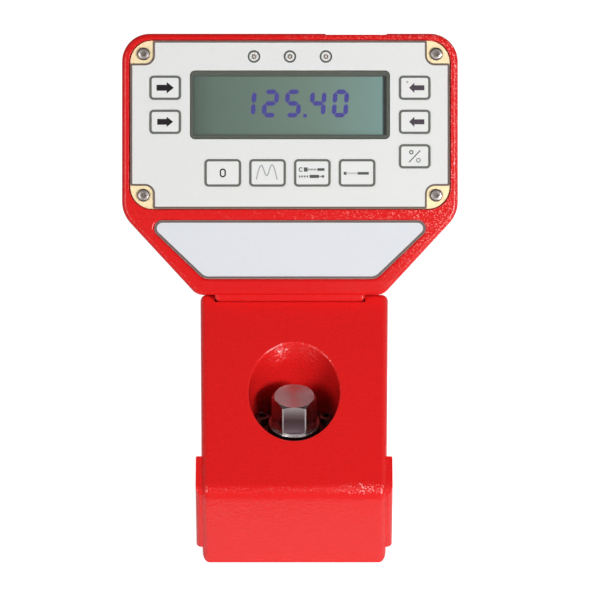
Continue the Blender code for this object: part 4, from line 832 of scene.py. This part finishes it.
capTop = body["floor"] + 2 * form["gap"] + drive["flangeThick"]
for k, (x, y) in enumerate(capSpots, 1):
    screw = capScrew("driveScrew%d" % k, wellShadeSteel, **driveScrew)
    place(screw, Matrix.Translation((x, y, capTop)) @ Matrix.Rotation(math.radians(17 * k), 4, "Z"))
    add(screw, "tester", "dark_steel", "transducer_screw_%d" % k)

under = -(form["cheek"] + form["gap"] * 2 + body["wall"])
for k, side in enumerate((-1, 1), 1):
    bolt = capScrew("headBolt%d" % k, blackSteel, length=0.006 - under, **headBolt)
    placeOnHead(bolt, side * seat["boltX"], seat["boltY"], under, 180)
    add(bolt, "tester", "dark_steel", "head_bolt_%d" % k)
print("cap screws done")

# panel: gold plate, overlay, window, keys, indicator lamps and screws
panel = {
    "front": 0.002, "back": 0.004, "filmFront": 0.0012, "filmBack": 0.0017, "margin": 0.0001, "notch": 0.0156,
    "notchRadius": 0.0054, "pointRadius": 0.0012, "line": 0.0014, "keyLine": 0.0016, "proud": 0.00004, "board": 0.0065,
    "window": (0.1363, 0.0469, 0.0034), "windowZ": 0.1296, "keyRadius": 0.0026, "flange": 0.0008, "keyMore": 0.0004,
    "stem": 0.002,
}
lamps = {"z": 0.1625, "pitch": 0.0245, "hole": 0.0032, "ring": 0.0043, "dome": 0.0015, "base": 0.0018, "rim": 0.0016}
sideKey, rowKey = (0.0209, 0.0160), (0.0243, 0.0182)
keySpots = {  # width, height, x and z
    "key_left_1": (*sideKey, -0.085, 0.1412), "key_left_2": (*sideKey, -0.085, 0.1180),
    "key_right_1": (*sideKey, 0.085, 0.1412), "key_right_2": (*sideKey, 0.085, 0.1180),
    "key_percent": (*sideKey, 0.085, 0.0945), "key_zero": (*rowKey, -0.04575, 0.0832),
    "key_curve": (*rowKey, -0.01525, 0.0832), "key_two_tools": (*rowKey, 0.01525, 0.0832),
    "key_one_tool": (*rowKey, 0.04575, 0.0832),
}
lampSpots = [(step * lamps["pitch"], lamps["z"]) for step in (-1, 0, 1)]


def notchLoop(shrink):
    half = head["panelHalf"] - panel["margin"]
    low, high = head["panelBottom"] + panel["margin"], head["panelTop"] - panel["margin"]
    cut = panel["notch"] - panel["margin"]
    corners = [(-half + cut, low), (half - cut, low), (half - cut, low + cut), (half, low + cut), (half, high - cut),
               (half - cut, high - cut), (half - cut, high), (-half + cut, high), (-half + cut, high - cut),
               (-half, high - cut), (-half, low + cut), (-half + cut, low + cut)]
    point, inner = panel["pointRadius"] - min(shrink, 0.0008), panel["notchRadius"] + shrink
    return roundLoop(insetLoop(corners, [shrink] * 12), [point, point, inner] * 4, 8)


def windowLoop(grow):
    width, height, radius = panel["window"]
    return pillLoop(0, panel["windowZ"], width + 2 * grow, height + 2 * grow, radius + grow, 8)


def keyLoop(name, grow, steps=6):
    width, height, x, z = keySpots[name]
    return pillLoop(x, z, width + 2 * grow, height + 2 * grow, panel["keyRadius"] + grow, steps)


def panelHoles(grow):
    lampHoles = [ringLoop(x, z, lamps["hole"], 40) for x, z in lampSpots]
    return [windowLoop(0)] + [keyLoop(name, grow) for name in keySpots] + lampHoles


goldLoops = [panelLoop(0)] + panelHoles(0.0011) + [ringLoop(x, z, head["screwHole"], 24) for x, z in screwSpots]
goldPiece = flatShape("panelPlate", goldLoops, panel["front"], panel["back"], goldZinc, 0.0003)
add(goldPiece, "tester", "gold_plate", "panel_plate")
overlayLoops = [notchLoop(0)] + panelHoles(panel["keyMore"] + 0.0002)
overlayPiece = flatShape("panelOverlay", overlayLoops, panel["filmFront"], panel["filmBack"], overlayFilm, 0.00008)
add(overlayPiece, "tester", "overlay_white", "panel_overlay")


def printed(name, loops, finish, body="tester", slotName="overlay_white", front=None):
    front = panel["filmFront"] if front is None else front
    return add(flatShape(name, loops, front - panel["proud"], front + 0.0001, finish), body, slotName)


printed("overlayOutline", [notchLoop(0.00005), notchLoop(panel["line"])], printBrown)
boardFace = panel["board"] - 0.0003
dome, lampLong = lamps["dome"], boardFace - panel["filmBack"]
lampProfile = [(0, 0), (lamps["base"], 0), (lamps["base"], dome / 2), (dome, dome / 2)]
for degrees in range(0, 90, 15):
    turn = math.radians(degrees)
    lampProfile.append((dome * math.cos(turn), lampLong - dome + dome * math.sin(turn)))
for k, (x, z) in enumerate(lampSpots, 1):
    ring = [ringLoop(x, z, lamps["ring"], 64), ringLoop(x, z, lamps["hole"] + 0.00002, 64)]
    printed("lampRing%d" % k, ring, printDark)
    lens = flatShape("lampLens%d" % k, [ringLoop(x, z, lamps["hole"] - 0.0001, 48), ringLoop(x, z, lamps["rim"], 32)],
                     panel["filmFront"] + 0.0001, panel["filmBack"], lensFilm, 0.0001)
    add(lens, "tester", "overlay_white")
    lamp = lathe("lamp%d" % k, lampProfile + [(0, lampLong)], ledGrey, 48)
    add(placeOnHead(lamp, x, boardFace, z, 90), "tester", "led_amber", "led_%d" % k)


def buildKey(name):
    width, height, x, z = keySpots[name]
    front, back = panel["filmFront"], panel["filmBack"]
    cap = flatShape(name + "Cap", [keyLoop(name, panel["keyMore"])], front, back, keyFilm, 0.00012)
    flange = prism("flange", [keyLoop(name, panel["flange"])], "Y", back - 0.0001, back + 0.0015)
    stem = prism("stem", [ringLoop(x, z, panel["stem"], 24)], "Y", back + 0.0013, panel["board"] - 0.0011)
    extra = [place(piece, headPlace) for piece in (flange, stem)]
    carve(cap, extra, "UNION")
    return bake(cap, extra, weighted=False)


for name in keySpots:
    keyBody = name + "_body"
    add(buildKey(name), keyBody, "key_white", name)
    lineOut = panel["keyMore"] - 0.0001
    border = [keyLoop(name, lineOut), keyLoop(name, lineOut - panel["keyLine"])]
    printed(name + "Outline", border, printGrey, keyBody, "key_white")
print("panel and keys done")


# prints on the keys, in millimetres about each key's centre

def keyPrint(name, tag, loops, finish):
    x, z = keySpots[name][2:]
    moved = [[Vector((x + p[0] * mm, z + p[1] * mm)) for p in loop] for loop in loops]
    printed(name + tag, moved, finish, name + "_body", "key_white")


def arrowLoop(length, shaft, barb, barbLong, point):
    # point is 1 for right and -1 for left
    half = length / 2
    neck = half - barbLong
    loop = [(-half, -shaft / 2), (neck, -shaft / 2), (neck, -barb / 2), (half, 0), (neck, barb / 2), (neck, shaft / 2),
            (-half, shaft / 2)]
    return [Vector((point * x, z)) for x, z in loop]


def boxPrint(x0, x1, z, height):
    return boxCorners(x0, z - height / 2, x1, z + height / 2)


def dashes(x0, x1, z, height, count):
    pitch = (x1 - x0) / count
    return [boxPrint(x0 + pitch * k, x0 + pitch * (k + 0.62), z, height) for k in range(count)]


def curvePoints():
    # two peaks, steep at both ends
    knots = [(-7.7, -4.6), (-4.2, 5.1), (-0.6, -1.9), (3.0, 5.5), (6.5, -4.6)]
    points = []
    for i, ((x0, z0), (x1, z1)) in enumerate(zip(knots, knots[1:])):
        for k in range(10):
            t = k / 10
            rise = 0.5 - 0.5 * math.cos(math.pi * t)
            if i == 0:
                rise = math.sin(math.pi * t / 2)
            if i == 3:
                rise = 1 - math.cos(math.pi * t / 2)
            points.append((x0 + (x1 - x0) * t, z0 + (z1 - z0) * rise))
    return points + [knots[-1]]


keyPrint("key_left_1", "Arrow", [arrowLoop(11.8, 4.0, 7.8, 4.9, 1)], printBlack)
keyPrint("key_left_2", "Arrow", [arrowLoop(10.9, 4.0, 7.0, 4.5, 1)], printBlack)
for name in ("key_right_1", "key_right_2"):
    arrow = [p + Vector((1.4, 0)) for p in arrowLoop(10.4, 3.4, 7.0, 3.6, -1)]
    keyPrint(name, "Arrow", [arrow], printPlum)
keyPrint("key_right_1", "Dot", [ringLoop(-5.0, 3.9, 0.75, 16)], printPale)
keyPrint("key_percent", "Slash", [strip([(-3.8, -4.0), (3.8, 4.0)], 0.8)], printGrey)
for k, (x, z, inside) in enumerate(((-2.3, 2.8, 0.7), (2.5, -2.7, 0.95))):
    keyPrint("key_percent", "Ring%d" % k, [ringLoop(x, z, 1.55, 32), ringLoop(x, z, inside, 32)], printGrey)
keyPrint("key_zero", "Nought", [pillLoop(0, 0, 4.2, 6.0, 2.0, 8), pillLoop(0, 0, 2.3, 4.1, 1.1, 8)], printBlack)
keyPrint("key_curve", "Peaks", [strip(curvePoints(), 0.85)], printPale)
clawTurns = [math.radians(degrees) for degrees in range(40, 321, 20)]
claw = [(-7.7 + 1.25 * math.cos(t), 2.3 + 1.25 * math.sin(t)) for t in clawTurns]
handles = [boxPrint(-5.8, -3.2, 2.3, 2.9), boxPrint(3.4, 8.3, 2.3, 1.8), boxPrint(-1.9, 4.6, -2.4, 2.1),
           boxPrint(6.3, 8.1, -2.4, 1.6)]
shafts = dashes(-2.9, 3.1, 2.3, 1.2, 6) + dashes(-9.2, -2.2, -2.4, 1.3, 4) + [boxPrint(4.8, 6.1, -2.4, 0.7)]
keyPrint("key_two_tools", "Dark", handles, printDark)
keyPrint("key_two_tools", "Pale", [strip(claw, 0.75)] + shafts, printGrey)
keyPrint("key_one_tool", "Dark", [boxPrint(-9.1, -7.2, -0.3, 2.0), boxPrint(0.3, 8.0, -0.3, 1.8)], printDark)
keyPrint("key_one_tool", "Pale", dashes(-6.7, 0.1, -0.3, 1.2, 6), printPale)
print("key prints done")

for k, (x, z) in enumerate(screwSpots, 1):
    screw = capScrew("panelScrew%d" % k, screwSteel, **panelScrew)
    screw.data.materials.append(rimShadeSteel)
    screw.data.materials.append(socketShadeSteel)
    for face in screw.data.polygons:
        out = math.hypot(face.center.x, face.center.y)
        if out > 0.0033:  # the rim of the head, painted dark as shade on its steep side
            face.material_index = 1
        elif out < 0.0019 and face.center.z < 0.0018:  # the floor of the socket, painted darker as shade in the socket
            face.material_index = 2
    add(placeOnHead(screw, x, panel["front"] - form["gap"], z, 90), "tester", "bright_steel", "panel_screw_%d" % k)

# display: sunk green glass in an olive frame, a reading in bars, a clear pane
display = {
    "front": 0.0020, "glassFront": 0.0038, "left": -0.0661, "right": 0.0637, "low": 0.1090, "high": 0.1496,
    "shade": 0.0021, "digitHigh": 19.0, "digitWide": 11.0, "stroke": 3.1, "pitch": 15.4, "lean": 0.07, "text": "125.40",
    "middle": (4.4, 130.6),
}
left, right, low, high = (display[side] for side in ("left", "right", "low", "high"))
sunk, glassFront = display["front"], display["glassFront"]
frameHole = roundLoop(boxCorners(left, low, right + display["shade"], high), [0.0008] * 4, 4)
framePiece = flatShape("displayFrame", [windowLoop(-0.0003), frameHole], sunk, glassFront + 0.0002, bezelOlive, 0.0002)
add(framePiece, "tester", "lcd_green", "display_module")
glassPiece = flatShape("displayGlass", [windowLoop(-0.0006)], glassFront, boardFace, lcdGlass)
add(glassPiece, "tester", "lcd_green")
# a dark line round the glass, widest at the top, is painted shadow of the frame
edgeShadowLoops = [boxCorners(left, low, right + 0.0002, high), boxCorners(left + 0.0006, low + 0.0004, right, high - 0.0008)]
printed("displayEdgeShadow", edgeShadowLoops, printDark, "tester", "lcd_green", glassFront)
# a black strip along the glass's right edge is painted shadow of the frame
shadowStripLoop = boxCorners(right, low + 0.0002, right + display["shade"] - 0.0001, high - 0.0002)
shadowStripPiece = flatShape("displayShadowStrip", [shadowStripLoop], sunk + 0.0006, glassFront + 0.0001, printBlack)
add(shadowStripPiece, "tester", "lcd_green")
panePiece = flatShape("displayPane", [windowLoop(-0.0003)], panel["filmFront"], panel["filmBack"], paneClear, 0.0001)
add(panePiece, "tester", "clear_pane", "display_pane")


def segmentLoops(x, z, figure):
    # seven bars with pointed ends; x and z are the figure's lower left corner
    wide, high, stroke = display["digitWide"], display["digitHigh"], display["stroke"]
    half, gap = stroke / 2, 0.25
    middle = high / 2
    rows = {"d": half, "g": middle, "a": high - half}
    columns = {"e": (half, half, middle), "f": (half, middle, high - half), "c": (wide - half, half, middle),
               "b": (wide - half, middle, high - half)}
    figures = {"0": "abcdef", "1": "bc", "2": "abged", "4": "fgbc", "5": "afgcd"}
    loops = []
    for bar in figures[figure]:
        if bar in rows:
            level, start, end = rows[bar], half + gap, wide - half - gap
            loops.append([(start, level), (start + half, level - half), (end - half, level - half), (end, level),
                          (end - half, level + half), (start + half, level + half)])
        else:
            level, start, end = columns[bar]
            start, end = start + gap, end - gap
            loops.append([(level, start), (level + half, start + half), (level + half, end - half), (level, end),
                          (level - half, end - half), (level - half, start + half)])
    return [[(x + px + display["lean"] * pz, z + pz) for px, pz in loop] for loop in loops]


def displayText():
    figures = [c for c in display["text"] if c != "."]
    point = display["text"].index(".")
    room = display["pitch"] * len(figures) + 1.5
    x = display["middle"][0] - room / 2
    z = display["middle"][1] - display["digitHigh"] / 2
    loops = []
    for k, figure in enumerate(figures):
        if k == point:
            loops.append(pillLoop(x - 1.1, z + 1.2, 2.4, 2.4, 0.5, 3))
            x += 1.5
        loops += segmentLoops(x, z, figure)
        x += display["pitch"]
    return [[(px * mm, pz * mm) for px, pz in loop] for loop in loops]


printed("displayFigures", displayText(), lcdInk, "tester", "lcd_green", display["glassFront"])
print("display done")

# label plate with a printed border
labelPiece = flatShape("labelPlate", [labelLoop(0)], 0.0003, 0.0013, labelFilm, 0.00012)
add(labelPiece, "tester", "label_white", "label_plate")
printed("labelOutline", [labelLoop(0.0001), labelLoop(head["labelLine"])], printBrown, "tester", "label_white", 0.0003)
print("label plate done")

# base plate with countersunk screws and four holes for the bench
middle = (form["front"] + rearSeat.x) / 2
benchHoles = [ringLoop(x, middle + y, 0.005, 48) for x in (-0.028, 0.028) for y in (-0.043, 0.043)]
sinkProfile = [(0, -0.002), (0.0049, -0.002), (0.0049, 0.0003), (0.0028, 0.0024), (0.0028, 0.010), (0, 0.010)]
baseProfile = [(0, 0.0022), (0.0003, 0.0003), (0.0043, 0.0003), (0.0046, 0.0005), (0.0025, 0.0024), (0.0025, 0.014),
               (0, 0.014)]
plateHoles = prism("plateHoles", benchHoles, "Z", -0.003, 0.011)
basePiece = prism("basePlate", [plateLoop(0, 10)], "Z", 0, body["plate"], zincSteel)
bevelEdges(basePiece, 0.0006, 2)
sinks = []
for k, (x, y) in enumerate(plateScrews, 1):
    sinks.append(place(lathe("sink", sinkProfile, None, 40), Matrix.Translation((x, y, 0))))
    screw = lathe("baseScrew%d" % k, baseProfile, screwSteel, 48)
    socket = prism("socket", [ringLoop(0, 0, 0.0017, 6)], "Z", -0.001, 0.0018)
    bake(carve(screw, [socket]), [socket], weighted=False)
    add(place(screw, Matrix.Translation((x, y, 0))), "tester", "bright_steel", "base_screw_%d" % k)
carve(basePiece, [plateHoles] + sinks)
bake(basePiece, [plateHoles] + sinks)
add(basePiece, "tester", "zinc_steel", "base_plate")
print("base plate done")

# fittings: data socket, power inlet, switch and rocker
rear = head["depth"] + form["gap"]
port = {"flange": (0.031, 0.0125, 0.002), "thick": 0.0012, "shell": 0.003, "screwX": 0.01245, "pitch": 0.0026,
        "pin": 0.0006}
portX, portY, rearX = head["portX"], head["portY"], head["rearX"]


def dLoop(grow):
    wide, narrow, deep = 0.0085 + grow, 0.0073 + grow, 0.0042 + grow
    corners = [(portX - narrow, portY - deep), (portX + narrow, portY - deep), (portX + wide, portY + deep),
               (portX - wide, portY + deep)]
    return roundLoop(corners, [max(0.0015 + grow, 0.0004)] * 4, 6)


portFloor = head["height"] - head["portDeep"]
flangeTop = portFloor + form["gap"] + port["thick"]
flangeLoop = pillLoop(portX, portY, *port["flange"], 6)
portPiece = prism("dataPort", [flangeLoop], "Z", portFloor + form["gap"], flangeTop, connectorSteel)
shell = prism("shell", [dLoop(0)], "Z", portFloor - 0.005, flangeTop + port["shell"])
carve(portPiece, [shell], "UNION")
bevelEdges(portPiece, 0.0003, 2)
faceTool = prism("faceTool", [dLoop(-0.0005)], "Z", flangeTop + 0.0022, flangeTop + 0.005)
portHoles = [ringLoop(portX + side * port["screwX"], portY, 0.0013, 20) for side in (-1, 1)]
holeTool = prism("holeTool", portHoles, "Z", flangeTop - 0.0006, flangeTop + 0.005)
carve(portPiece, [faceTool, holeTool])
bake(portPiece, [shell, faceTool, holeTool])
add(place(portPiece, headPlace), "tester", "bright_steel", "data_port")
pinSpots = [(portX + (k - 2) * port["pitch"], portY + 0.0012) for k in range(5)]
pinSpots += [(portX + (k - 1.5) * port["pitch"], portY - 0.0014) for k in range(4)]
pinBed = prism("socketFace", [dLoop(-0.0005)], "Z", flangeTop + 0.0018, flangeTop + 0.0026, blackPlastic)
pinHoles = [ringLoop(x, y, port["pin"], 16) for x, y in pinSpots]
pinTool = prism("pinTool", pinHoles, "Z", flangeTop + 0.0021, flangeTop + 0.004)
bake(carve(pinBed, [pinTool]), [pinTool], weighted=False)
add(place(pinBed, headPlace), "tester", "bright_steel")

inner, lip, deep, pinTop = 0.0385, rear + 0.0012, rear - 0.007, head["depth"] - 0.0003
inletProfile = [(0, inner), (0.0055, inner), (0.0055, rear), (0.0075, rear), (0.0075, lip - 0.0004), (0.0071, lip),
                (0.0039, lip), (0.0035, lip - 0.0004), (0.0035, deep), (0.001, deep), (0.001, pinTop - 0.0003),
                (0.0007, pinTop), (0, pinTop)]
inlet = lathe("powerInlet", inletProfile, blackPlastic, 64)
add(placeOnHead(inlet, rearX, 0, head["inletZ"], -90), "tester", "black_plastic", "power_inlet")

switch = {"frame": (0.015, 0.021, 0.001), "core": (0.0125, 0.0185, 0.0005), "room": (0.0098, 0.0142, 0.0005)}
rocker = {"swing": math.radians(10), "half": 0.0063, "crown": 0.0045, "belly": 0.0042, "width": 0.0086, "axle": 0.0045}
frameLoop, coreLoop, roomLoop = (pillLoop(rearX, head["switchZ"], *switch[key], steps)
                                 for key, steps in (("frame", 6), ("core", 4), ("room", 4)))
switchFrame = prism("switchFrame", [frameLoop], "Y", rear, rear + 0.0015, blackPlastic)
bevelEdges(switchFrame, 0.0004, 3)
core = prism("core", [coreLoop], "Y", head["depth"] - 0.014, rear + 0.0005)
room = prism("room", [roomLoop], "Y", head["depth"] - 0.012, rear + 0.003)
carve(switchFrame, [core], "UNION")
carve(switchFrame, [room])
bake(switchFrame, [core, room])
add(place(switchFrame, headPlace), "tester", "black_plastic", "switch_frame")


def rockerLoop():
    # half the side view runs from the round belly to the tip and along the hollow crown; the rest mirrors it
    end, crown, belly = rocker["half"], rocker["crown"], rocker["belly"]
    tip = crown + 0.0065 * math.tan(rocker["swing"])
    turns = [math.radians(degrees) for degrees in range(0, 60, 10)]
    side = [(-belly * math.cos(t), belly * math.sin(t)) for t in turns]
    side += [(0, end), (tip / 2, end), (tip, end - 0.0002)]
    side += [(crown + (tip - crown) * (k / 6) ** 1.3, (end - 0.0002) * k / 6) for k in range(5, 0, -1)]
    return side + [(crown, 0)] + [(y, -z) for y, z in reversed(side[1:])]


rockerPiece = prism("powerRocker", [rockerLoop()], "X", -rocker["width"] / 2, rocker["width"] / 2, blackPlastic)
bake(bevelEdges(rockerPiece, 0.00035, 2, 45))
placeOnHead(rockerPiece, rearX, head["depth"] - rocker["axle"], head["switchZ"], -math.degrees(rocker["swing"]))
add(rockerPiece, "rocker_body", "black_plastic", "power_rocker")
print("fittings done")

# hidden pieces keep their frame shape and get a finish
hidden = {"key_board": boardGreen, "main_board": boardGreen, "battery_pack": batteryWrap, "signal_cable": blackRubber,
          "cable_plug": keyFilm}
hidden.update(("board_pillar_%d" % k, connectorSteel) for k in range(1, 5))
for nodeName, finish in hidden.items():
    bpy.data.objects[nodeName].material_slots[0].material = finish

# studio: pale floor, soft lamps, camera above and in front
floorFinish = makePlain("floorPaper", (0.88, 0.88, 0.88), 0.8, 60, 0.02, vary=0.01, Emission_Color=(1, 1, 1, 1))
floorRay = floorFinish.node_tree.nodes.new("ShaderNodeLightPath")
floorNear = axisTone(floorFinish, "Y", -0.152, -0.138)  # the casting mirrors white paper only up to here
seen = nodeMath(floorFinish, "MULTIPLY", floorRay.outputs["Is Camera Ray"], 0.8)
mirrored = nodeMath(floorFinish, "MULTIPLY", floorRay.outputs["Is Glossy Ray"], floorNear)
feed(floorFinish, nodeMath(floorFinish, "MULTIPLY_ADD", mirrored, 0.36, seen), "Emission Strength")
floorFar = nodeMath(floorFinish, "SUBTRACT", 1.0, floorNear)
gone = nodeMath(floorFinish, "MULTIPLY", floorRay.outputs["Is Glossy Ray"], floorFar)
feed(floorFinish, ramp(floorFinish, gone, [(0, (0.88, 0.88, 0.88)), (1, (0.10, 0.10, 0.10))]), "Base Color")
floorMesh = bmesh.new()
bmesh.ops.create_grid(floorMesh, x_segments=1, y_segments=1, size=6)
floorPiece = finishMesh("studioFloor", floorMesh, floorFinish)
floorPiece.location.z = -0.0002


def addLamp(name, spot, aim, size, power):
    light = bpy.data.lights.new(name, "AREA")
    light.shape = "DISK"
    light.size = size
    light.energy = power
    lamp = bpy.data.objects.new(name, light)
    lamp.location = spot
    lamp.rotation_euler = (Vector(spot) - Vector(aim)).to_track_quat("Z", "Y").to_euler()
    bpy.context.scene.collection.objects.link(lamp)


addLamp("rightLamp", (1.25, -1.8, 1.15), (0, 0, 0.12), 0.6, 47)
addLamp("leftLamp", (-1.3, -1.7, 1.3), (0, 0, 0.12), 1.3, 20)
addLamp("sparkLamp", (0.13, -0.36, 0.37), (0.05, 0.0, 0.08), 0.03, 0.07)

sky = bpy.data.worlds.new("studioSky")
sky.use_nodes = True
bpy.context.scene.world = sky
skyNodes, skyLinks = sky.node_tree.nodes, sky.node_tree.links
lightSky, whiteSky = skyNodes["Background"], skyNodes.new("ShaderNodeBackground")
for light in (lightSky, whiteSky):
    light.inputs["Color"].default_value = (1, 1, 1, 1)
skyAxes = skyNodes.new("ShaderNodeSeparateXYZ")
skyLinks.new(skyNodes.new("ShaderNodeTexCoord").outputs["Generated"], skyAxes.inputs["Vector"])
behind = span(sky, skyAxes.outputs["Y"], 0.14, 0.5, -0.1, 0.5)  # dim in front
lower = span(sky, skyAxes.outputs["Z"], 1.0, 0.25, 0.55, 0.95)  # and overhead
skyLinks.new(nodeMath(sky, "MULTIPLY", behind, lower), lightSky.inputs["Strength"])
rayKind = skyNodes.new("ShaderNodeLightPath")
chooseSky = skyNodes.new("ShaderNodeMixShader")
skyLinks.new(rayKind.outputs["Is Camera Ray"], chooseSky.inputs["Fac"])
skyLinks.new(lightSky.outputs["Background"], chooseSky.inputs[1])
skyLinks.new(whiteSky.outputs["Background"], chooseSky.inputs[2])
skyLinks.new(chooseSky.outputs["Shader"], skyNodes["World Output"].inputs["Surface"])

shot = {"down": math.radians(35), "far": 3.0, "pixels": 600, "perPixel": 0.000677, "film": 36,
        "target": Vector((0, 0, 0.097)), "shift": (5.85, 91.2)}
toward = Vector((0, math.cos(shot["down"]), -math.sin(shot["down"])))
lifted = Vector((0, math.sin(shot["down"]), math.cos(shot["down"])))
lens = bpy.data.cameras.new("photoCamera")
lens.sensor_width = shot["film"]
lens.lens = shot["film"] * shot["far"] / (shot["pixels"] * shot["perPixel"])
lens.clip_end = 20
camera = bpy.data.objects.new("photoCamera", lens)
aside, above = shot["shift"]  # in pixels, from the target to the middle of the picture
spot = shot["target"] + Vector((aside * shot["perPixel"], 0, 0)) + lifted * above * shot["perPixel"]
spot -= toward * shot["far"]
turned = Matrix((Vector((1, 0, 0)), lifted, -toward)).transposed()
camera.matrix_world = Matrix.Translation(spot) @ turned.to_4x4()
bpy.context.scene.collection.objects.link(camera)
bpy.context.scene.camera = camera
bpy.context.scene.view_settings.view_transform = "Standard"

print("stage done")
